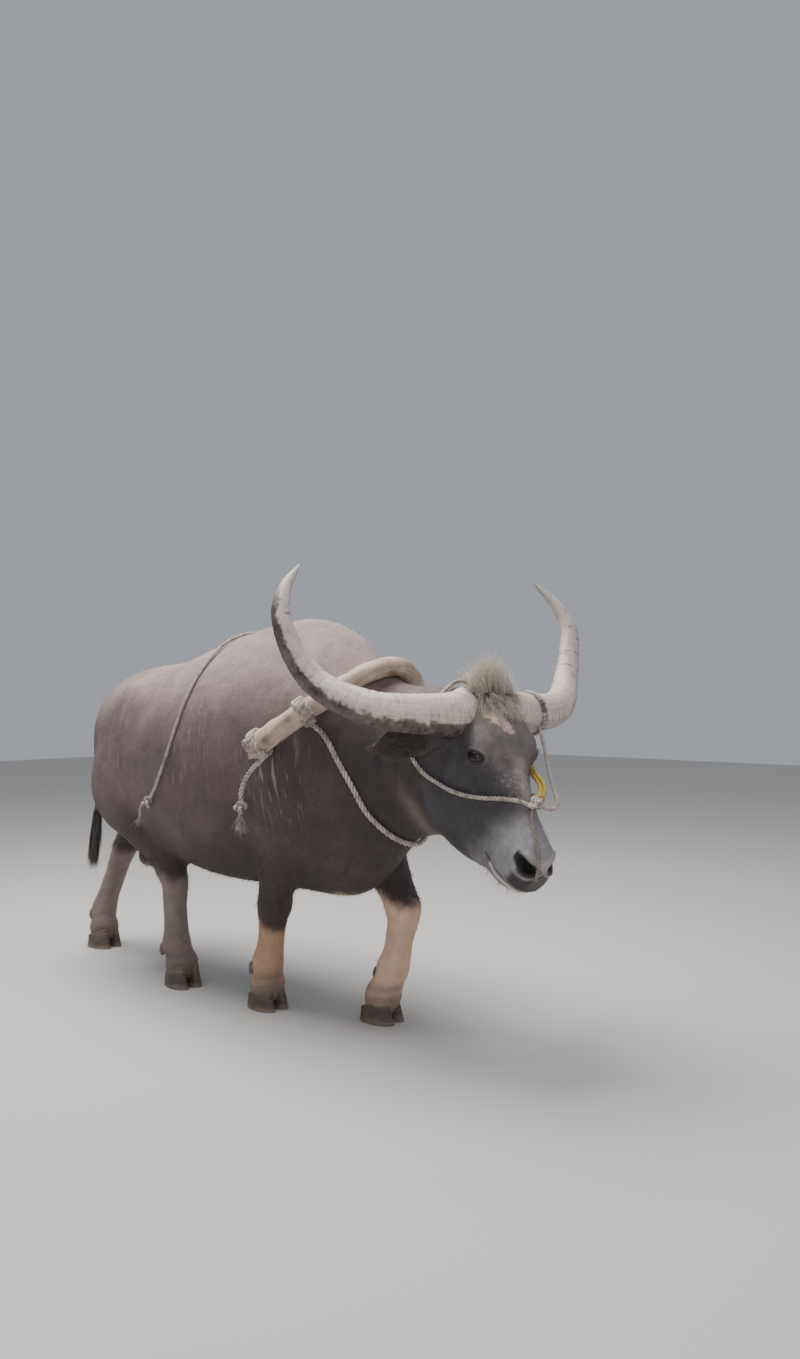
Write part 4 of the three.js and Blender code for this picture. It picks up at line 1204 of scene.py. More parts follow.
for name, (rings, (u0, v0, u1, v1)) in planForm.items():
    step = 3 if rings.shape[0] > 100 else 2
    rings = rings[::step, ::step]
    count, sides = rings.shape[:2]
    i, j = np.meshgrid(np.linspace(0, 1, count), np.linspace(0, 1, sides), indexing="ij")
    lie = np.gradient(rings, axis=0)
    if name == "trunk":
        lie = -lie + np.array([0, 0, -0.35]) * np.linalg.norm(lie, axis=2, keepdims=True)
    planPoints.append(rings.reshape(-1, 3))
    planPlaces.append(np.stack([u0 + (u1 - u0) * i, v0 + (v1 - v0) * j], -1).reshape(-1, 2))
    planLies.append(unitRows(lie.reshape(-1, 3)))
planPoints, planPlaces, planLies = np.vstack(planPoints), np.vstack(planPlaces), np.vstack(planLies)
planTree = kdtree.KDTree(len(planPoints))
for k, q in enumerate(planPoints.tolist()):
    planTree.insert(q, k)
planTree.balance()


def onPlan(points):  # for each point: its place on the plan, and the way the hair lies there
    nearest = np.array([planTree.find(q)[1] for q in points.tolist()])
    return planPlaces[nearest], planLies[nearest]


# Colours of the hide, all linear, painted by where a point is on the animal
hideLook = {
    "base": (0.125, 0.088, 0.084),
    "back": (0.33, 0.25, 0.238),
    "under": (0.036, 0.022, 0.02),
    "chest": (0.0125, 0.0075, 0.0068),
    "shoulder": (0.062, 0.044, 0.044),
    "neck": (0.047, 0.034, 0.034),
    "nape": (0.17, 0.13, 0.12),
    "face": (0.056, 0.05, 0.059),
    "brow": (0.25, 0.19, 0.165),
    "plane": (0.19, 0.158, 0.15),
    "strip": (0.42, 0.33, 0.315),
    "blaze": (0.84, 0.58, 0.48),
    "speckle": (0.42, 0.37, 0.36),
    "muzzle": (0.27, 0.257, 0.275),
    "pad": (0.012, 0.011, 0.012),
    "lip": (0.8, 0.66, 0.66),
    "foreSock": (0.47, 0.285, 0.18),
    "paleSock": (0.76, 0.5, 0.36),
    "hindSock": (0.3, 0.225, 0.2),
    "coronet": (0.16, 0.12, 0.1),
    "cavity": (0.006, 0.004, 0.004),
    "socket": (0.022, 0.016, 0.017),
    "earInside": (0.07, 0.052, 0.05),
    "mottle": 0.3,
    "drip": (0.42, 0.36, 0.33),
}


blazeLines = [
    [
        (34, -100, 18), (56, -88, 22), (78, -76, 25), (104, -58, 27), (130, -36, 27), (158, -16, 24),
        (186, 2, 21),
    ],
    [(50, -52, 30), (76, -46, 31), (100, -42, 30), (122, -38, 28), (140, -30, 26)],
]
sockEdge = {"leftFore": 432, "rightFore": 322, "leftHind": 440, "rightHind": 430}


def legLine(leg, z):  # where the middle of a leg is at each height
    line = np.array(legForm[leg], float)[::-1]
    return np.interp(z, line[:, 2], line[:, 0]), np.interp(z, line[:, 2], line[:, 1])


def legNumber(x, y, z):  # which leg a low point belongs to, by the nearest line
    far = []
    for leg in feet:
        middleX, middleY = legLine(leg, z)
        far.append(np.hypot(x - middleX, y - middleY))
    return np.argmin(far, axis=0)


def hideColours(p, n):  # x, y and z are in the animal's frame; ahead, aside and above in the head's
    x, y, z = p.T
    ahead, aside, above = toHead(p).T
    face = smoothStep(-80, 10, ahead) * (x > 1020)
    rest = 1 - face
    up = smoothStep(-0.1, 0.95, n[:, 2])
    top = smoothStep(900, 1250, z) * up
    brow = hump(ahead, 92, 78) * hump(np.abs(aside), 22, 62) * smoothStep(-70, 0, above)
    plane = smoothStep(-72, -14, above + 9 * waves(p, 70, 62)) * smoothStep(0, 60, ahead)
    strip = hump(aside, 0, 24) * smoothStep(210, 300, ahead) * smoothStep(-60, -25, above)
    mark = np.zeros(len(p))
    for line, broad in zip(blazeLines, (17, 12)):
        near, d, share = alongLine(toHead(p) + 9 * waves(p, 30, 55)[:, None], smoothPath(line, 6), 60)
        wide = 4 + broad * np.sin(math.pi * share) ** 0.6 * (1 + 0.8 * waves(p[near], 22, 56))
        torn = smoothStep(1.3, 0.6, d / wide) * (0.75 + 0.6 * waves(p[near], 13, 57))
        mark[near] = np.maximum(mark[near], torn)
    bridge = smoothStep(200, 300, ahead) * smoothStep(-84, -34, above)
    muzzle = smoothStep(350, 450, ahead + 16 * waves(p, 60, 22)) * face
    spots = smoothStep(0.2, 0.6, waves(p, 17, 59, 7) + 0.35 * waves(p, 60, 60)) * face
    spots = 0.45 * spots * (np.maximum(0.7 * brow, bridge) * smoothStep(60, 110, ahead))
    noseEnd = smoothStep(524, 546, ahead + 5 * waves(p, 26, 24)) * smoothStep(-186, -172, above)
    noseEnd *= 1 - smoothStep(-104, -78, above)
    # a paler bar across the throat, as swamp buffalo have
    bar = hump(x + 0.35 * (z - 700), 985, 26) * smoothStep(880, 760, z) * smoothStep(0.2, -0.5, n[:, 2])
    light = 0.9 * top + 0.25 * smoothStep(860, 1150, z)
    layers = [
        ("back", light * rest * (1 - 0.6 * smoothStep(760, 860, x))),
        ("under", smoothStep(760, 500, z + 60 * waves(p, 240, 21)) * 0.95),
        ("chest", smoothStep(520, 640, x) * smoothStep(900, 700, z) * rest),
        ("shoulder", smoothStep(330, 560, x) * smoothStep(1120, 900, z) * rest * 0.9),
        ("neck", smoothStep(700, 860, x) * rest * smoothStep(1160, 1040, z) * 0.95),
        ("nape", smoothStep(800, 900, x) * rest * up * smoothStep(1040, 1120, z)),
        ("face", face),
        ("plane", 0.85 * plane * face * (0.85 + 0.4 * waves(p, 55, 63))),
        ("brow", 0.6 * brow * face),
        ("strip", 0.6 * strip * face * (0.85 + 0.5 * waves(p, 32, 64))),
        ("blaze", 0.9 * mark * face),
        ("muzzle", muzzle * (0.86 + 0.1 * waves(p, 34, 23))),
        ("speckle", spots),
        ("pad", noseEnd * face * 0.95),
        ("brow", 0.5 * bar * rest),
    ]
    # stockings, with a dark V that runs down the front of each foreleg
    leg = legNumber(x, y, z)
    for k, name in enumerate(feet):
        mine = (leg == k) & (z < 520)
        hind = "Hind" in name
        front = smoothStep(-40, 50, x - legLine(name, z)[0])
        edge = sockEdge[name] - (20 if hind else 34) * front + 14 * waves(p, 46, 40 + k)
        pale = "hindSock" if hind else "paleSock" if name == "leftFore" else "foreSock"
        layers.append((pale, smoothStep(edge + 26, edge - 30, z) * mine * (0.8 if hind else 0.95)))
        layers.append(("coronet", 0.6 * (hump(z, 118, 16) * mine)))
        layers.append(("coronet", 0.75 * smoothStep(112, 84, z) * mine))
    colour = plainRows(hideLook["base"], len(p))
    for key, weight in layers:
        colour = mixRows(colour, hideLook[key], weight)
    blotch = 1.1 * waves(p, 170, 50) + 0.7 * waves(p, 60, 51) + 0.4 * waves(p, 17, 52)
    colour = colour * (1 + hideLook["mottle"] * 0.55 * blotch)[:, None]
    return np.clip(colour, 0.004, 0.9)


def cavities(p):  # the darkness of nostrils, the mouth's line and the sockets, for paint and gloss
    local = toHead(p)
    isHead = headMask(p, local)
    dark, lip, socket, ring = np.zeros((4, len(p)))
    for side in (1, -1):
        e, out, _ = fromEye(local, side)
        socket = np.maximum(socket, np.where(isHead & (out > -14), 0.85 * (1 - smoothStep(1.0, 1.9, e)), 0))
        e, out = fromNostril(local, side, 37, 22)
        dark = np.maximum(dark, np.where(isHead & (out > -46), 1 - smoothStep(0.72, 1.12, e), 0))
        ring = np.maximum(ring, np.where(isHead & (out > -30), 0.34 * hump(e, 1.5, 0.3), 0))
    near, d, inMouth = toMouth(p, local, 40)
    dark[near] = np.maximum(dark[near], np.where(inMouth, 0.8 * hump(d, 0, 4.0), 0))
    below = local[near, 2] < np.interp(local[near, 0], mouthLine[:, 0], mouthLine[:, 2])
    lip[near] = np.where(inMouth & below & (local[near, 0] > 462), hump(d, 9, 8), 0)
    return dark, np.maximum(lip, ring * (local[:, 2] > -140)), socket


p, n = placesOf(skin), normalsOf(skin)
local = toHead(p)
colour = hideColours(p, n)
dark, lip, socket = cavities(p)
earish = np.zeros(len(p))
for side in (1, -1):
    root, way, back, across = earFrame(side)
    d = local - root
    run = d @ way
    inside = smoothStep(20, 60, run) * (np.linalg.norm(d, axis=1) < 260) * (np.abs(d @ across) < 80)
    inside = inside * ((headMatrix @ back) @ n.T < -0.2) * 0.9 * (local[:, 1] * side > 60)
    colour = mixRows(colour, hideLook["earInside"], inside)
    off = np.linalg.norm(d - run[:, None] * way, axis=1)
    earish = np.maximum(earish, smoothStep(30, 60, run) * (off < 85) * (local[:, 1] * side > 120))
colour = mixRows(colour, hideLook["lip"], lip * (0.85 + 0.2 * waves(p, 24, 61)))
colour = mixRows(colour, hideLook["socket"], socket)
colour = mixRows(colour, hideLook["cavity"], dark)
paint(skin, "hideColour", colour)
isNose = p[:, 0] > 1040
pad = smoothStep(500, 545, local[:, 0]) * isNose * (1 - 0.7 * dark)
wet = pad + 0.35 * smoothStep(440, 500, local[:, 0]) * isNose + lip * 0.5
attribute(skin, "wet", np.clip(wet, 0, 1))
streaky = hump(p[:, 0], 500, 130) * hump(p[:, 2], 860, 140)
streaky = streaky + 0.8 * hump(p[:, 0], 90, 120) * hump(p[:, 2], 960, 180)
streaky += 0.5 * hump(p[:, 0], -430, 150) * hump(p[:, 2], 950, 170)
attribute(skin, "streaky", np.clip(streaky * (np.abs(n[:, 1]) > 0.3), 0, 1))
plan, lie = onPlan(p)
attribute(skin, "planPlace", np.column_stack([plan, np.zeros(len(p))]))
attribute(skin, "lie", unitRows(lie - n * (lie * n).sum(1, keepdims=True)))
bare = np.maximum(smoothStep(425, 520, local[:, 0]) * isNose, dark * 2)
hairCover = np.clip(smoothStep(60, 130, p[:, 2]) * (1 - bare), 0, 1)
attribute(skin, "cover", hairCover)
under = smoothStep(700, 480, p[:, 2]) * smoothStep(300, 420, p[:, 2])
long = 0.8 + 0.9 * earish + 0.7 * under + 0.5 * smoothStep(900, 1100, p[:, 0]) * (local[:, 0] < 0)
attribute(skin, "hairLength", np.where(p[:, 2] < 300, 0.6, long))
print("hide painted")


# The hide's finish: pores and creases, the lie of the hair, and pale runs where rain has dried
hideFinish = {
    "pores": 162.5,
    "hair": (16.0, 240.0, 90.0),  # stretched the way the hair lies
    "hairTurn": (0.0, 0.32, 0.0),
    "creases": (46.0, 30.0, 15.0),
    "drips": (86.0, 36.0, 9.0),
    "dry": 0.6,
    "wet": 0.24,
    "bump": 0.5,
}


def buildHide(node):
    place = onObject(node)
    wet, streaky = measured(node, "wet", "streaky")
    fine = noise(node, place, 210.0, 4.0, 0.65)
    wide = noise(node, place, 24.0, 5.0)
    hair = noise(node, stretched(node, place, hideFinish["hair"], hideFinish["hairTurn"]), 5.0, 3.0)
    tone = toned(
        node, painted(node, "hideColour"), 0.8, noise(node, place, 7.0, 3.0), (0.3, 0.78), (0.7, 1.2),
    )
    tone = toned(node, tone, 0.8, wide, (0.3, 0.9), (0.7, 1.1))
    tone = toned(node, tone, 0.6, hair, (0.35, 0.78), (0.65, 1.22))
    tone = toned(node, tone, 0.8, fine, (0.3, 0.85), (0.7, 1.12))
    drip = ramp(
        node, noise(node, stretched(node, place, hideFinish["drips"]), 1.0, 2.0, 0.5), (0.57, 0.0),
        (0.66, 1.0),
    )
    tone = blendColour(node, tone, hideLook["drip"], times(node, times(node, drip, streaky), 0.55))
    rough = timesPlus(node, fine, 0.14, ranged(node, wet, hideFinish["dry"], hideFinish["wet"]))
    pores = ramp(node, cells(node, place, hideFinish["pores"]), (0.0, 0.0), (0.14, 1.0))
    creases = ramp(
        node, cells(node, stretched(node, place, hideFinish["creases"]), 1.0), (0.0, 0.0), (0.1, 1.0),
    )
    height = timesPlus(node, creases, 0.35, timesPlus(node, pores, 0.28, hair))
    bump = bumped(node, timesPlus(node, wide, 1.6, height), hideFinish["bump"], 0.0035)
    sheen = dict(Sheen_Weight=0.05, Sheen_Roughness=0.5, Specular_IOR_Level=0.45)
    return dict(Base_Color=tone, Roughness=rough, Normal=bump, **sheen)


hideMaterial = material("hide", buildHide)
skin.data.materials.clear()
skin.data.materials.append(hideMaterial)
legNodes = ["leg_left_fore", "leg_right_fore", "leg_left_hind", "leg_right_hind"]
dress(skin, "hide", "torso", "neck", "head", "tail", *legNodes, "ear_left", "ear_right")
print("skin ready")


# The ropes that the animal wears tight: the throat's in the animal's frame, the rest in the head's
wornForm = {
    "throat": [
        (641, -250, 1030), (700, -230, 980), (748, -218, 901), (792, -194, 815), (815, -160, 741),
        (845, -110, 681), (875, -58, 642), (887, 0, 628), (876, 58, 641), (846, 112, 680), (816, 164, 740),
        (793, 198, 815), (749, 222, 901), (701, 231, 980), (641, 252, 1030),
    ],
    "crownRight": [(-72, -5, -76), (-79, -43, -80), (-39, -112, -102), (2, -148, -166), (41, -179, -245)],
    "cheek": [
        (81, 174, -256), (136, 158, -254), (187, 130, -237), (250, 119, -186), (303, 96, -125),
        (342, 59, -69), (369, 31, -38), (391, 11, -25),
    ],
    "crownLeft": [(48, 190, -230), (12, 166, -162), (-24, 97, -103), (-60, 41, -77), (-72, 7, -76)],
    "nose": [
        (583, -24, -112), (569, -25, -88), (539, -25, -61), (490, -23, -45), (439, -18, -36), (405, -8, -26),
    ],
    "horn": [
        (94, 180, -56), (140, 166, -48), (190, 153, -45), (245, 141, -48), (300, 128, -48), (350, 114, -40),
        (392, 92, -28), (410, 62, -22), (406, 30, -20), (398, 14, -18),
    ],
    "tie": [(386, 24, -22), (352, 58, -30), (318, 70, -36), (290, 64, -40)],
    "tieTurns": [(0, 0, 0), (0, -10, 4), (0, 9, -6), (0, 2, 9)],  # how its four lines lie beside each other
    "radius": {"throat": 8, "halter": 6, "nose": 5, "horn": 5.5, "bridge": 6, "tie": 5.2},
    # knots: middle, size, spin and tilt
    "knots": {
        "poll": ((-76, 0, -74), 13, 0, 40),
        "bridge": ((392, 0, -14), 16, 25, 12),
        "underBridge": ((394, 3, -8), 11, 120, 60),
        "tie": ((376, 26, -24), 14, 60, 30),
    },
}
cheekRight = [(x, -y, z) for x, y, z in wornForm["cheek"]]
cheekLeft = [(x, y + (3 if k > 5 else 0), z) for k, (x, y, z) in enumerate(wornForm["cheek"])][::-1]
halterPath = wornForm["crownRight"] + cheekRight + cheekLeft + wornForm["crownLeft"]


def headLine(points, step):
    return fromHead(smoothPath(points, step))


def headKnot(name):
    return fromHead(overhand(*wornForm["knots"][name]))


radius = wornForm["radius"]
throatWindings = [wound(aroundYoke, at, 0.17, 4, radius["throat"]) for at in (2.62, 9.38)]
throat = rope("throatRope", [smoothPath(wornForm["throat"], 4)] + throatWindings, radius["throat"])
dress(throat, "rope", "throat_rope")
halter = rope("halterRope", [headLine(halterPath, 4), headKnot("poll")], radius["halter"])
dress(halter, "rope", "halter_rope")
dress(rope("noseRope", headLine(wornForm["nose"], 3), radius["nose"], oldFibre, 0.13), "rope", "nose_rope")


# Horns, in the head's frame: wide and flat in front, ringed towards the root, smooth at the tip
hornForm = {
    "path": [
        (34, 66, -42), (56, 116, -52), (40, 214, -76), (4, 330, -110), (-58, 420, -140), (-136, 486, -160),
        (-228, 534, -144), (-328, 560, -108), (-424, 530, -88), (-512, 462, -78),
    ],
    "rows": [
        (0, 60, 46), (1, 66, 50), (2, 60, 45), (3, 55, 41), (4, 49, 37), (5, 43, 33), (6, 37, 29),
        (7, 30, 24), (8, 20, 17), (8.6, 11, 10), (9, 3, 3),
    ],
    "rings": 330,
    "sides": 44,
    "ringGap": 19,  # from one growth ring to the next near the root
    "ringDepth": 1.2,
    "cuts": [0.6, 0.668, 0.725, 0.772, 0.815],  # old cracks across the front, as shares of the length
    "pale": (0.7, 0.57, 0.52),
    "worn": (0.6, 0.51, 0.48),
    "tip": (0.46, 0.46, 0.41),
    "groove": (0.13, 0.105, 0.09),
    "rim": (0.028, 0.02, 0.016),
    "stain": (0.16, 0.13, 0.11),
}


def hornRings(side, rings, sides, more=0.0, at=None):
    track = np.column_stack([np.arange(10), mirrored(hornForm["path"], side)])
    t = spread(hornForm["rows"], rings) if at is None else np.asarray(at, float)
    row = rowAt(hornForm["rows"], t)
    way = wayAlong(track, t, 0.05, 0, 9)
    front = np.array([0.25, 0, 1])
    front = unitRows(front - way * (way @ front)[:, None])
    broad = np.cross(way, front)
    angle = ringAngles(sides)
    c, s = rounded(np.cos(angle), 2.4), rounded(np.sin(angle), 2.4)
    wide = (row[:, 1:2] + more) * c * (1 - 0.12 * np.sin(angle))
    place = rowAt(track, t)[:, 1:][:, None] + broad[:, None] * wide[..., None]
    return place + front[:, None] * ((row[:, 2:3] + more) * s)[..., None]


def buildHorn(node):
    place = onObject(node)
    along, around = measured(node, "along", "around")
    turn = times(node, around, 2 * math.pi)
    c, s = reckon(node, "COSINE", turn), reckon(node, "SINE", turn)
    grain = placeAt(node, times(node, along, 14.0), times(node, c, 9.0), times(node, s, 9.0))
    grain = noise(node, grain, 1.0, 6.0, 0.65)
    cross = noise(node, placeAt(node, times(node, along, 170.0), c, s), 1.0, 3.0, 0.55)
    tone = toned(node, painted(node, "tone"), 0.85, grain, (0.32, 0.76), (0.62, 1.14))
    tone = toned(node, tone, 0.5, cross, (0.3, 0.86), (0.6, 1.08))
    stain = times(node, ramp(node, noise(node, place, 30.0), (0.52, 0.0), (0.72, 1.0)), 0.35)
    tone = blendColour(node, tone, hornForm["stain"], stain)
    height = timesPlus(node, grain, 1.2, timesPlus(node, cross, 0.6, noise(node, place, 420.0, 2.0)))
    return dict(
        Base_Color=tone, Roughness=ranged(node, grain, 0.36, 0.6), Normal=bumped(node, height, 0.5, 0.0015),
    )


hornMaterial = material("horn", buildHorn)
for side, name in hands:
    sides = hornForm["sides"]
    rings = hornRings(side, hornForm["rings"], sides)
    middles = rings.mean(1, keepdims=True)
    run = runAlong(middles[:, 0])
    share = run / run[-1]
    warp = 2.2 * wavesOn(rings, 150, 80 + side) + 0.8 * wavesOn(rings, 40, 90 + side)
    phase = 2 * math.pi * (run / (hornForm["ringGap"] * (1 + 0.6 * share)))[:, None] + warp
    notch = (0.5 + 0.5 * np.sin(phase)) ** 7 * smoothStep(-0.25, 0.55, wavesOn(rings, 60, 85 + side))
    swollen = 0.5 + 0.5 * np.sin(phase + 2.6)
    c, s = np.cos(ringAngles(sides)), np.sin(ringAngles(sides))
    lowEdge = np.maximum(c * side, 0)
    strong = (1 - smoothStep(0.55, 0.85, share))[:, None] * (0.45 + 0.55 * np.abs(c))[None]
    scale = np.minimum(1, run[-1] * (1 - share) / 90)[:, None]
    push = (0.35 * swollen - hornForm["ringDepth"] * notch) * strong + 1.2 * wavesOn(rings, 75, 95) * scale
    push += 1.5 * wavesOn(rings, 18, 96) * lowEdge[None] ** 3 * scale
    crack = np.zeros(notch.shape)
    for k, at in enumerate(hornForm["cuts"]):
        off = (share[:, None] - at + 0.004 * wavesOn(rings, 50, 110 + k)) / 0.0028
        crack += np.exp(-(off**2)) * smoothStep(0.1, 0.45, wavesOn(rings, 55, 120 + k))
    chips = 0.13 * wavesOn(rings, 46, 103) + 0.1 * wavesOn(rings, 15, 108)
    rim = smoothStep(0.62, 0.8, lowEdge[None] + 1.3 * chips) * (1 - smoothStep(0.8, 0.93, share))[:, None]
    behind = 0.7 * np.maximum(-s, 0)[None] * (1 - smoothStep(0.7, 0.95, share))[:, None]
    rim = withEnds(np.maximum(rim * (0.95 if side < 0 else 0.4), behind), 0, 0)
    groove = withEnds(np.maximum(0.75 * notch * strong, 1.6 * crack), 0, 0)
    level = withEnds(np.repeat(share, sides), 0, 1)
    points, faces = loft(rings + unitRows(rings - middles) * push[..., None])
    horn = outwards(meshObject("ridgedHorn_" + name, fromHead(points), faces))
    tone = plainRows(hornForm["pale"], len(points))
    tone = mixRows(tone, hornForm["worn"], smoothStep(0.2, 0.8, level) * 0.9 + 0.3 * waves(points, 60, 97))
    tone = mixRows(tone, hornForm["tip"], smoothStep(0.84, 0.98, level))
    tone = mixRows(tone, hornForm["groove"], np.clip(groove, 0, 0.8))
    tone = mixRows(tone, hornForm["rim"], rim * (0.92 + 0.15 * waves(points, 30, 99)))
    paint(horn, "tone", np.clip(tone, 0.01, 1))
    attribute(horn, "along", level * run[-1] / 1000)
    attribute(horn, "around", withEnds(np.tile(np.arange(sides) / sides, len(rings)), 0, 0))
    horn.data.materials.append(hornMaterial)
    dress(horn, "horn", "horn_" + name)
print("horns made")


def aroundHorn(t, sides, more):
    return fromHead(hornRings(1, None, sides, more, t))


hornLines = [headLine(wornForm["horn"], 3), wound(aroundHorn, 1.72, 0.11, 3, radius["horn"])]
dress(rope("hornRope", hornLines, radius["horn"]), "rope", "horn_rope")
bridge = rope("bridgeKnot", [headKnot("bridge"), headKnot("underBridge")], radius["bridge"], paleFibre)
dress(bridge, "tie", "bridge_knot")
tieLines = [headLine(np.array(wornForm["tie"]) + beside, 3) for beside in wornForm["tieTurns"]]
tie = rope("yellowTie", tieLines + [headKnot("tie")], radius["tie"], strawFibre)
dress(tie, "tie", "yellow_tie")
lines, thick = [], []
for k in (-1, 0, 1):
    way = headMatrix @ np.array([-0.9, 0.2 * k, -0.1])
    more = frayed(fromHead(wornForm["tie"][3]), way, 46, 40, 6 + k, 0.5)
    lines, thick = lines + more[0], thick + more[1]
dress(strands("yellowTassel", lines, thick, 0.0011, strawFibre), "tie")


# The yoke's wood
yokeWood = {
    "pale": (0.66, 0.5, 0.41), "dark": (0.25, 0.165, 0.12), "scar": (0.08, 0.055, 0.04), "rings": 420,
    "sides": 40,
}
yokeCuts = [
    (0.42, 0.9, 8), (0.3, 4.7, 8), (0.85, 2.4, 7), (1.1, 5.6, 6), (1.45, 3.6, 5), (2.1, 5.4, -4),
    (3.4, 1.2, 5), (4.6, 4.4, -4), (5.7, 0.6, 4), (7.3, 2.5, 5), (8.4, 5.5, -4), (10.2, 3.0, 5),
    (11.3, 1.1, 6),
]
rings = yokeRings(yokeWood["rings"], yokeWood["sides"])
t = spread(yokeForm["rows"], yokeWood["rings"])
angle = ringAngles(yokeWood["sides"])
push = 1.6 * wavesOn(rings, 110, 101) + 0.7 * wavesOn(rings, 34, 102)
scar = np.zeros(rings.shape[:2])
for at, around, high in yokeCuts:  # knots in the wood, where twigs were cut
    d = np.hypot((t[:, None] - at) * 75 / 16, np.angle(np.exp(1j * (angle[None] - around))) * 31 / 13)
    push += high * np.exp(-(d**2)) - 0.5 * high * np.exp(-((d / 0.45) ** 2))
    scar = np.maximum(scar, np.exp(-((d / 0.8) ** 2)))
ends = np.minimum(t, 12 - t)[:, None]
ragged = waves(np.column_stack([np.cos(angle), np.sin(angle), angle * 0]) * 20, 16, 104)[None]
ragged = ragged + 0.6 * wavesOn(rings, 16, 105)
stump = 10 * np.exp(-((ends - 0.3) ** 2) / 0.04) * (0.6 + 0.7 * ragged)
push += stump + 7 * ragged * smoothStep(0.5, 0.1, ends)
out = unitRows(rings - rings.mean(1, keepdims=True))
way = unitRows(np.gradient(rings.mean(1), axis=0)) * np.sign(t - 6)[:, None]
rings = rings + way[:, None] * (9 * ragged * smoothStep(0.35, 0.08, ends))[..., None]  # broken, not sawn
points, faces = loft(rings + out * push[..., None])
yoke = outwards(meshObject("yokePole", points, faces))
run = runAlong(rings.mean(1)) / 1000
attribute(yoke, "along", withEnds(np.repeat(run, yokeWood["sides"]), 0, run[-1]))
attribute(yoke, "around", withEnds(np.tile(angle, len(rings)), 0, 0))
attribute(yoke, "scar", withEnds(scar, 1, 1))


def buildWood(node):
    place = onObject(node)
    along, around, scar = measured(node, "along", "around", "scar")
    turn = (times(node, reckon(node, kind, around), 9.0) for kind in ("COSINE", "SINE"))
    grain = noise(node, placeAt(node, times(node, along, 9.0), *turn), 1.0, 7.0, 0.68)
    tone = ramp(node, grain, (0.34, 0.05), (0.52, 0.9), (0.75, 1.0))
    tone = blendColour(node, yokeWood["dark"], yokeWood["pale"], tone)
    tone = toned(node, tone, 0.8, noise(node, place, 14.0, 3.0), (0.35, 0.7), (0.65, 1.15))
    tone = blendColour(node, tone, yokeWood["scar"], times(node, scar, 0.75))
    height = timesPlus(node, grain, 1.6, times(node, noise(node, place, 500.0, 2.0), 0.3))
    return dict(
        Base_Color=tone, Roughness=ranged(node, grain, 0.5, 0.72), Normal=bumped(node, height, 0.6, 0.0022),
    )


yoke.data.materials.append(material("yokeWood", buildWood))
dress(yoke, "yoke_wood", "yoke")
print("yoke and ropes made")


# Eyes: a wet dark ball with a brown iris and a pupil that lies level
eyeLook = {
    "white": (0.035, 0.02, 0.016),
    "iris": (0.008, 0.0042, 0.003),
    "pupil": (0.002, 0.002, 0.003),
    "reach": 12.5,  # radius of the iris
    "pupilHalf": (8.0, 3.8),
}


def buildEye(node):
    tone = toned(
        node, painted(node, "tone"), 0.6, noise(node, onObject(node), 380.0), (0.3, 0.7), (0.7, 1.4),
    )
    coat = dict(Coat_Weight=0.35, Coat_Roughness=0.04)
    return dict(Base_Color=tone, Roughness=0.12, Specular_IOR_Level=0.35, **coat)


eyeMaterial = material("wetEye", buildEye)
for side, name in hands:
    centre, out, along, up = eyeFrame(side)
    polar = np.linspace(0.02, math.pi - 0.02, 50)[:, None, None]
    angle = ringAngles(56)[None, :, None]
    radius = eyeForm["radius"] + 0.3 + 1.3 * np.exp(-((polar / 0.5) ** 2))
    around = np.sin(polar) * (np.cos(angle) * along + np.sin(angle) * up)
    points, faces = loft(centre + radius * (around + np.cos(polar) * out))
    d = points - centre
    far, tall = d @ along, d @ up
    r = np.hypot(far, tall)
    front = d @ out > 0
    wide, high = eyeLook["pupilHalf"]
    tone = plainRows(eyeLook["white"], len(points))
    tone = mixRows(
        tone, eyeLook["iris"], smoothStep(eyeLook["reach"] + 1.5, eyeLook["reach"] - 0.5, r) * front,
    )
    tone = mixRows(tone, eyeLook["pupil"], smoothStep(1.15, 0.9, np.hypot(far / wide, tall / high)) * front)
    eye = outwards(meshObject("eyeball_" + name, fromHead(points), faces))
    paint(eye, "tone", tone)
    eye.data.materials.append(eyeMaterial)
    dress(eye, "eye", "eye_" + name)

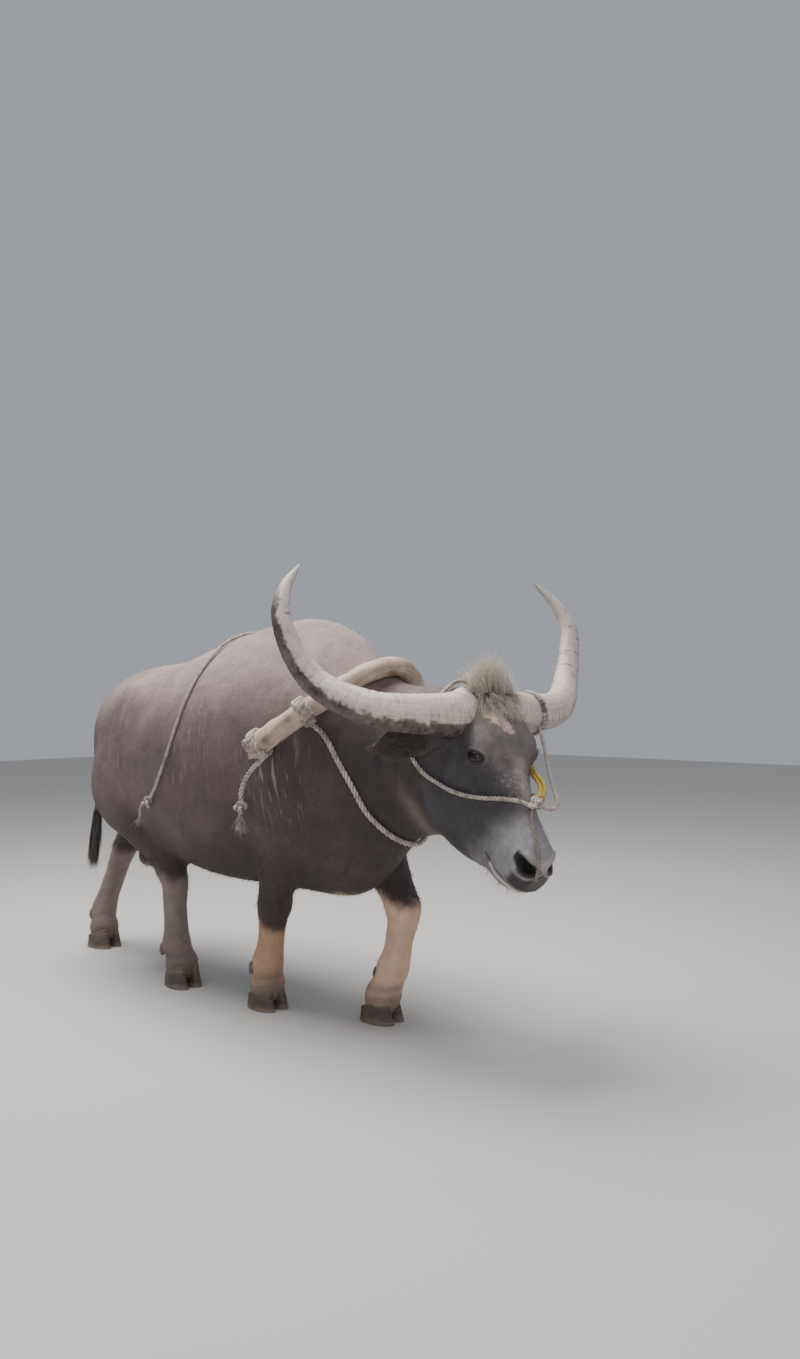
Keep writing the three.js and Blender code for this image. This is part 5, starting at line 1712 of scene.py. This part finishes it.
# Eyelids: a fold over and under each eye that runs out into the skin of the face
lidForm = {
    "corner": 24.5,
    "upper": 12.5,
    "lower": 9.5,
    "steps": 96,
    "outwards": (20, 21, 19),  # how far the fold runs out at the corners, above and below
    # share of the way out, and how far the fold stands off there
    "profile": [
        (0, -5), (0, 0.6), (0.05, 2.6), (0.13, 3.0), (0.22, 1.6), (0.3, 0.9), (0.4, 2.2), (0.52, 1.8),
        (0.64, 0.6), (0.76, 0.9), (0.88, 0.1), (1, -1.6), (1, -9),
    ],
    "rim": (0.018, 0.014, 0.014),
}
skinTree = BVHTree.FromPolygons([v.co.copy() for v in skin.data.vertices], facesOf(skin))
for side, name in hands:
    centre, out, along, up = eyeFrame(side)
    angle = ringAngles(lidForm["steps"])
    c, s = np.cos(angle), np.sin(angle)
    x = lidForm["corner"] * c
    y = np.where(s > 0, lidForm["upper"], lidForm["lower"]) * np.sign(s) * np.abs(s) ** 1.25
    cornerOut, upperOut, lowerOut = lidForm["outwards"]
    inner = np.stack([x, y], -1)
    outer = np.stack([x + cornerOut * c, y + np.where(s > 0, upperOut, lowerOut) * s], -1)
    rings = []
    for share, lift in lidForm["profile"]:
        flat = inner * (1 - share) + outer * share
        ball = np.sqrt(np.maximum((eyeForm["radius"] + 1.2) ** 2 - (flat**2).sum(-1), 40.0))
        places = centre + flat[:, :1] * along + flat[:, 1:] * up
        start = toFrame(fromHead(places + out * 60))
        way = Vector(-(headMatrix @ out))
        sunk = [skinTree.ray_cast(Vector(q), way, 0.2)[3] or 0.06 for q in start.tolist()]
        surface = 60 - np.array([far * 1000 for far in sunk])
        blend = smoothStep(0.0, 0.85, share) if share > 0 else 0.0
        height = ball * (1 - blend) + np.maximum(surface, -4) * blend + lift
        rings.append(places + out * height[:, None])
    count, steps = len(rings), lidForm["steps"]
    i, j = np.meshgrid(np.arange(count), np.arange(steps), indexing="ij")
    after, beside = (i + 1) % count, (j + 1) % steps
    corners = [i * steps + j, i * steps + beside, after * steps + beside, after * steps + j]
    faces = [tuple(f) for f in np.stack(corners, -1).reshape(-1, 4).tolist()]
    lid = outwards(meshObject("eyelid_" + name, fromHead(np.reshape(rings, (-1, 3))), faces))
    smooth = lid.modifiers.new("rounder", "SUBSURF")
    smooth.levels = smooth.render_levels = 1
    settled(lid)
    q, n = placesOf(lid), normalsOf(lid)
    d = toHead(q) - centre
    edge = np.hypot(d @ along / 27, d @ up / 16)
    tone = mixRows(hideColours(q, n), lidForm["rim"], smoothStep(1.35, 0.95, edge) * 0.85)
    tone = mixRows(tone, hideLook["brow"], 0.6 * hump(edge, 1.75, 0.22) * (0.5 + 0.5 * np.sign(d @ up)))
    paint(lid, "hideColour", tone)
    attribute(lid, "wet", smoothStep(1.2, 0.9, edge) * 0.8)
    attribute(lid, "cover", np.zeros(len(q)))
    lid.data.materials.append(hideMaterial)
    dress(lid, "hide")
print("eyes made")


# Hooves: two claws to a foot, ringed by growth and worn at the toe, with a pair of dewclaws behind
hoofForm = {
    "length": 132,
    "width": 60,
    "front": 84,
    "heel": 46,
    "rings": 30,
    "sides": 56,
    "horn": (0.085, 0.062, 0.048),
    "band": (0.17, 0.13, 0.1),
    "dust": (0.3, 0.25, 0.2),
    "dewLine": [(0, -26), (9, -25), (16, -18), (18, -6), (17, 4), (14, 15), (9, 24), (4, 27.5), (0, 28)],
    "dewPlace": (-50, 29, -26),  # from the leg's line just above the foot
    "dewLean": -158,
}


def clawPoints(side):
    middle = side * (hoofForm["width"] / 2 + 2)
    up = np.linspace(0, 1, hoofForm["rings"])[:, None]
    angle = ringAngles(hoofForm["sides"])[None]
    c, s = np.cos(angle), np.sin(angle)
    long = hoofForm["length"] / 2 * (1 - 0.2 * up)
    wide = hoofForm["width"] / 2 * (1 - 0.1 * up)
    toeIn = np.where(c > 0, 1 - 0.22 * c * c, 1)
    height = (hoofForm["front"] + hoofForm["heel"]) / 2 + (hoofForm["front"] - hoofForm["heel"]) / 2 * c
    ring = 0.9 * np.sin(up * 34 + 1.2 * c) * smoothStep(0.08, 0.3, up) + 0.4 * np.sin(up * 71 + c * 2)
    flare = 2.4 * (1 - up) ** 3
    x = -10 * up + (long + ring + flare) * rounded(c, 2.3) + 6
    y = middle + (wide + ring * 0.7 + flare * 0.6) * toeIn * rounded(s, 2.3)
    y = y - side * 5 * np.maximum(c, 0) ** 2
    rings = np.stack(np.broadcast_arrays(x, y, up * height), -1)
    under = rings[:1] * (1, 1, 0)
    inset = under.mean(1, keepdims=True) + (under - under.mean(1, keepdims=True)) * 0.9
    rings[1:2, :, 2] = np.maximum(rings[1:2, :, 2], 1.5)
    return np.concatenate([inset, under, rings[1:]])


def dewclawPoints():
    line = np.array(hoofForm["dewLine"], float)
    t = np.linspace(0, len(line) - 1, 20)
    r, h = (np.interp(t, np.arange(len(line)), line[:, k])[:, None] for k in range(2))
    angle = ringAngles(24)
    rings = np.stack(np.broadcast_arrays(r * np.sin(angle), -r * np.cos(angle) * 0.85, h), -1)
    return rings[1:-1] @ turned("y", hoofForm["dewLean"]).T


def buildHoof(node):
    place = onObject(node)
    rings = noise(node, stretched(node, place, (18.0, 18.0, 240.0)), 1.0, 3.0)
    fibres = noise(node, stretched(node, place, (420.0, 420.0, 26.0)), 1.0, 3.0)
    tone = toned(node, painted(node, "tone"), 0.9, rings, (0.3, 0.65), (0.68, 1.3))
    tone = toned(node, tone, 0.7, fibres, (0.3, 0.8), (0.7, 1.2))
    bump = bumped(node, timesPlus(node, rings, 1.2, times(node, fibres, 0.6)), 0.7, 0.002)
    return dict(Base_Color=tone, Roughness=0.55, Normal=bump)


hoofMaterial = material("hoofHorn", buildHoof)


def hoofPiece(name, node, rings, worn):
    points, faces = loft(rings)
    obj = outwards(meshObject(name, points, faces))
    paint(obj, "tone", np.clip(worn(points, plainRows(hoofForm["horn"], len(points))), 0.01, 1))
    obj.data.materials.append(hoofMaterial)
    dress(obj, "hoof", node)


def clawTone(points, tone):
    high = np.clip(points[:, 2] / 70, 0, 1)
    tone = mixRows(tone, hoofForm["band"], smoothStep(0.62, 1.0, high) * 0.8)
    return mixRows(
        tone, hoofForm["dust"], 0.55 * smoothStep(0.35, 0.0, high) + 0.2 * waves(points, 50, 110),
    )


def dewTone(points, tone):
    return mixRows(tone, hoofForm["dust"], 0.25 + 0.3 * waves(points, 20, 111))


for foot, (x, y, toe) in feet.items():
    leg = ("left" if "left" in foot else "right") + ("_hind" if "Hind" in foot else "_fore")
    for side, hand in hands:
        rings = clawPoints(side) @ turned("z", toe).T + (x, y, 0)
        hoofPiece("hoof_" + leg + "_" + hand, "claw_" + leg + "_" + hand, rings, clawTone)
        rings = dewclawPoints() + (np.array(legForm[foot][5]) + mirrored(hoofForm["dewPlace"], side))
        hoofPiece("dewHoof_" + leg + "_" + hand, "dewclaw_" + leg + "_" + hand, rings, dewTone)
print("hooves made")


# Hair: coarse strands in locks at the poll and the tail, and sparse short hair all over
hairLook = {
    "poll": (0.7, 0.63, 0.54),
    "tail": (0.085, 0.068, 0.06),
    "lash": (0.02, 0.017, 0.016),
    "whisker": (0.2, 0.18, 0.165),
}


def buildHair(node):
    along = painted(node, "along", "Fac")
    tone = toned(node, painted(node, "hideColour"), 0.9, along, (0.0, 0.62), (0.5, 1.0), (1.0, 1.22))
    return dict(Base_Color=tone, Roughness=0.5, Specular_IOR_Level=0.35, Sheen_Weight=0.1)


hairMaterial = material("coatHair", buildHair)


def drawing(seed):  # the same draw each time, from 0 to 1, as in the solids
    state = seed
    while True:
        state = (state * 1664525 + 1013904223) % 4294967296
        yield state / 4294967296


def lockLines(forms, each, seed, curl, steps=7):  # the strands of flat locks that gather to their tips
    draw = np.random.default_rng(seed)
    lines, thick, tones = [], [], []
    t = np.linspace(0, 1, steps)[:, None]
    gather = 1 - 0.8 * t**2
    for root, way, length, bend, half, deep, tone in forms:
        across = unitRows(np.cross(way, bend))
        face = np.cross(across, way)
        shade = draw.uniform(0.8, 1.2)
        for _ in range(each):
            u, v = draw.uniform(-1, 1), draw.uniform(-1, 1) * 1.6
            long = length * draw.uniform(0.62, 1.04)
            wild = draw.normal(size=3) * curl
            beside = (across * half * u + face * deep * v) * gather
            lines.append(root + way * long * t + bend * long * t**2 + beside + wild * t**2 * long)
            thick.append(1 - 0.8 * t[:, 0] ** 2)
            strand = np.clip(np.array(tone) * shade * draw.uniform(0.65, 1.3), 0.01, 0.9)
            tones.append(np.tile(strand, (steps, 1)))
    return lines, thick, tones


def coatReady(obj):  # the strands' colour attribute, and the map of where each hair is rooted
    mesh = obj.data

    def values(name, key="value", width=1):
        return readRows(mesh.attributes[name].data, key, width)

    if "tone" in mesh.attributes:
        tone = values("tone", "vector", 3)
        mesh.attributes.remove(mesh.attributes["tone"])
        paint(obj, "hideColour", tone)
    strand = np.hstack([values("along"), values("around")])
    uv = values("planPlace", "vector", 3)[:, :2] + 0.003 * (strand - 0.5)
    loops = np.empty(len(mesh.loops), np.int32)
    mesh.loops.foreach_get("vertex_index", loops)
    layer = mesh.uv_layers.new(name="OFBake")
    layer.data.foreach_set("uv", uv[loops].astype(np.float32).ravel())


def hairPiece(name, lines, thick, tones, radius):
    plan = onPlan(np.array([line[0] for line in lines]))[0]
    places = [np.tile([u, v, 0.0], (len(line), 1)) for (u, v), line in zip(plan.tolist(), lines)]
    obj = strands(name, lines, thick, radius / 1000, hairMaterial, tone=tones, planPlace=places)
    coatReady(obj)
    dress(obj, "hide")


def skinUnder(start, way):  # where a ray meets the skin, and the way out of the skin there
    hit, normal, _, _ = skinTree.ray_cast(Vector(toFrame(start)), Vector(way), 0.4)
    return (None, None) if hit is None else (fromFrame(np.array(hit)), np.array(normal))


def sunflower(count):  # places that fill a round patch evenly: angle, and share of the radius
    return [(i * 2.4, math.sqrt((i + 0.5) / count)) for i in range(count)]


pollForm = {
    "height": 100,
    "locks": 18,
    "strands": 60 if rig.quick() else 150,
    "brow": 34,
    "browStrands": 26 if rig.quick() else 62,
}
draw = drawing(11)
upright, forwards = np.array([-0.823, 0, 0.568]), np.array([0.568, 0, 0.823])
forms = []
for angle, far in sunflower(pollForm["locks"]):
    lean = forwards * math.cos(angle) * far + np.array([0, math.sin(angle) * far, 0])
    way = unitRows(upright + lean * (0.22 + 0.16 * next(draw)) + (0, -0.1, 0))
    root = np.array([16, -9, 4]) + lean + lean * (30, 52, 18)
    length = (pollForm["height"] + 16) * (1 - 0.42 * far * far) * (0.86 + 0.2 * next(draw))
    bend = -lean * (0.08 + 0.2 * next(draw)) + (0.14, 0.02, 0)
    half = (15 + 5 * next(draw)) * 1.7
    forms.append((fromHead(root), headMatrix @ way, length, headMatrix @ bend, half, 10.0, hairLook["poll"]))
locks = lockLines(forms, pollForm["strands"], 12, 0.2)
forms = []
# the hair runs on over the forehead and round the horns' roots
for angle, far in sunflower(pollForm["brow"]):
    x, y = 32 + 80 * far * math.cos(angle), 74 * far * math.sin(angle)
    root, n = skinUnder(fromHead((x, y, 120.0)), headMatrix @ np.array([0.0, 0, -1.0]))
    if root is None:
        continue
    n = headMatrix.T @ n
    back = smoothStep(60, -30, x)
    way = unitRows(n * (0.36 + 0.6 * back) + np.array([0.75 - 1.3 * back, y / 150, 0]))
    root = toHead(root) - n * 3
    length = 38 + 28 * back + 8 * next(draw)
    bend = -n * 0.3 + np.array([0.1, 0.1 * (next(draw) - 0.5), 0])
    tone = np.array(hairLook["poll"]) * (0.75 + 0.25 * back)
    forms.append((fromHead(root), headMatrix @ way, length, headMatrix @ bend, 14.0, 6.0, tone))
brow = lockLines(forms, pollForm["browStrands"], 14, 0.22)
hairPiece("pollTuft", *(a + b for a, b in zip(locks, brow)), 0.55)

switchForm = {"locks": 12, "strands": 40 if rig.quick() else 120, "top": 640, "rise": 150, "tip": 372}
draw = drawing(5)
forms = []
for i in range(switchForm["locks"]):
    angle, high = i * 2.4, switchForm["top"] - switchForm["rise"] * i / switchForm["locks"]
    out = np.array([math.cos(angle), math.sin(angle), 0])
    way = unitRows(out * (0.1 + 0.06 * next(draw)) + (0, -0.1, -1))
    root = np.array([-866, -72 - (switchForm["top"] - high) * 0.13, high]) + out * 8
    bend = out * (-0.06 - 0.05 * next(draw)) + (0.02, 0, 0)
    length = min(high - switchForm["tip"], 150 + 50 * next(draw))
    forms.append((root, way, length, bend, 12 + 3 * next(draw), 4.5, hairLook["tail"]))
hairPiece("tailSwitch", *lockLines(forms, switchForm["strands"], 13, 0.05), 0.6)

# Lashes over the eyes, and stiff hairs on the lips and chin
lashForm = {"seed": 77, "lashes": 46, "lash": 21, "half": (24, 13.5), "whiskers": 420, "above": 0.35}
draw = np.random.default_rng(lashForm["seed"])
lines, thick, tones = [], [], []
t = np.linspace(0, 1, 5)[:, None]
for side in (1, -1):
    centre, out, along, up = eyeFrame(side)
    for angle in np.linspace(0.25, math.pi - 0.25, lashForm["lashes"]):
        x, y = lashForm["half"][0] * math.cos(angle), lashForm["half"][1] * math.sin(angle) ** 1.25
        root = centre + along * x + up * y + out * (math.sqrt(max(24.2**2 - x * x - y * y, 40)) + 1)
        way = unitRows(out + up * 0.25 + along * 0.3 * math.cos(angle) + draw.normal(size=3) * 0.1)
        lines.append(fromHead(root + way * lashForm["lash"] * t * draw.uniform(0.4, 0.75) + (up * 5) * t**2))
        thick.append(1 - 0.8 * t[:, 0])
        tones.append(np.tile(hairLook["lash"], (5, 1)))
for _ in range(lashForm["whiskers"]):
    x, y = draw.uniform(430, 572), draw.uniform(-62, 62)
    if draw.uniform() < lashForm["above"]:
        start, way, longest = (x, y * 1.6, 20.0), unitRows(np.array([-0.1, -y * 0.01, -1.0])), 17
    else:
        start, way, longest = (x, y, -330.0), np.array([0, 0, 1.0]), 26
    root, n = skinUnder(fromHead(start), headMatrix @ way)
    if root is None:
        continue
    way = unitRows(n + headMatrix @ np.array([0.35, 0, -0.5]) + draw.normal(size=3) * 0.25)
    long = draw.uniform(6, longest)
    lines.append(root - n * 1.5 + way * long * t + np.array([0, 0, -0.25]) * long * t**2)
    thick.append((1 - 0.75 * t[:, 0]) * 0.8)
    tones.append(np.tile(np.array(hairLook["whisker"]) * draw.uniform(0.4, 1.3), (5, 1)))
hairPiece("lashesAndWhiskers", lines, thick, tones, 0.4)
print("tufts made")


# Short hair all over: each one a small bent spike that lies along the skin
def bristleTreeMade():
    sizes = [("Density", 9000.0), ("Length", 0.014), ("Radius", 0.0004), ("Lift", 0.5)]
    inputs = [(label, "Float", value) for label, value in sizes] + [("Seed", "Int", 7)]
    tree, node, given = newTree("shortHair", inputs)
    density = times(node, named(node, "cover"), given["Density"])
    spots = node(
        "GeometryNodeDistributePointsOnFaces", None, Mesh=given["Geometry"], Density=density,
        Seed=given["Seed"],
    )
    lean = scaledBy(node, spots.outputs["Normal"], given["Lift"])
    jitter = node(
        "FunctionNodeRandomValue", {"data_type": "FLOAT_VECTOR"}, _0=(-0.25,) * 3, _1=(0.25,) * 3, Seed=3,
    )
    for more in (named(node, "lie", "FLOAT_VECTOR"), jitter.outputs[0]):
        lean = node("ShaderNodeVectorMath", {"operation": "ADD"}, _0=lean, _1=more).outputs[0]
    turn = node("FunctionNodeAlignRotationToVector", {"axis": "Z"}, Vector=lean).outputs[0]
    bend = {"Start": (0, 0, -0.08), "Middle": (0.05, 0, 0.5), "End": (0.0, 0.06, 1.0)}
    line = node("GeometryNodeCurveQuadraticBezier", None, Resolution=2, **bend).outputs[0]
    share = node("GeometryNodeSplineParameter").outputs["Factor"]
    ring = ringOf(node, 3, reckon(node, "DIVIDE", given["Radius"], given["Length"]))
    hair = swept(node, line, share, ring, share, Scale=timesPlus(node, share, -0.8, 1.0))
    size = node("FunctionNodeRandomValue", {"data_type": "FLOAT"}, _2=0.6, _3=1.25, Seed=5).outputs[1]
    long = times(node, times(node, size, given["Length"]), named(node, "hairLength"))
    made = {"Points": spots.outputs[0], "Instance": hair, "Rotation": turn, "Scale": long}
    coat = node("GeometryNodeInstanceOnPoints", None, **made)
    return finishTree(tree, node, coat.outputs[0], given["Material"])


coatForm = {"Density": 600.0 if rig.quick() else 1800.0, "Length": 0.0145, "Radius": 0.00042, "Lift": 0.42}
bristleTree = bristleTreeMade()
attribute(skin, "cover", hairCover * (1 + 1.6 * earish))
for seed, name in ((7, "shortCoat"), (8, "shortCoatBetween")):
    coat = skin.copy()
    coat.data = skin.data.copy()
    coat.name = name
    collection.objects.link(coat)
    grown(coat, bristleTree, Material=hairMaterial, Seed=seed, **coatForm)
    coatReady(coat)
    dress(coat, "hide")
    print(name, "made", trianglesOf(coat))
attribute(skin, "cover", hairCover)


# Floor and light
stageLook = {
    "floor": (0.6, 0.58, 0.55),
    "half": 14,
    "sky": 0.42,
    "air": (0.87, 0.91, 1.0),
    # lamps: place, aim, width, power and tint
    "above": ((-0.6, -0.4, 4.6), (0.1, 0, 0.8), 3.4, 330.0, (1.0, 0.98, 0.95)),
    "front": ((4.6, -3.4, 2.6), (0.2, 0, 0.8), 2.6, 48.0, (1.0, 0.97, 0.94)),
}
half = stageLook["half"]
floorMesh = bpy.data.meshes.new("floor")
floorMesh.from_pydata(
    [(-half, -half, 0), (half, -half, 0), (half, half, 0), (-half, half, 0)], [], [(0, 1, 2, 3)],
)
floor = bpy.data.objects.new("floor", floorMesh)
collection.objects.link(floor)
floor.location.z = -0.0005


def buildFloor(node):
    return dict(Base_Color=(*stageLook["floor"], 1), Roughness=0.9)


floorMesh.materials.append(material("paleFloor", buildFloor))
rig.stage(floor)
world = bpy.data.worlds.new("studio")
world.use_nodes = True
sky = world.node_tree.nodes["Background"].inputs
sky[0].default_value, sky[1].default_value = (*stageLook["air"], 1), stageLook["sky"]
bpy.context.scene.world = world


for name in ("above", "front"):
    place, aim, size, power, tint = stageLook[name]
    data = bpy.data.lights.new(name, "AREA")
    data.shape, data.size, data.energy, data.color = "DISK", size, power, tint
    lamp = bpy.data.objects.new(name, data)
    collection.objects.link(lamp)
    lamp.location = place
    lamp.rotation_mode = "QUATERNION"
    lamp.rotation_quaternion = (Vector(aim) - Vector(place)).to_track_quat("-Z", "Y")

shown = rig.bounds()
json.dump({"cad": [list(v) for v in cadBox], "visual": [list(v) for v in shown]}, open("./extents.json", "w"))
print("sizes written")
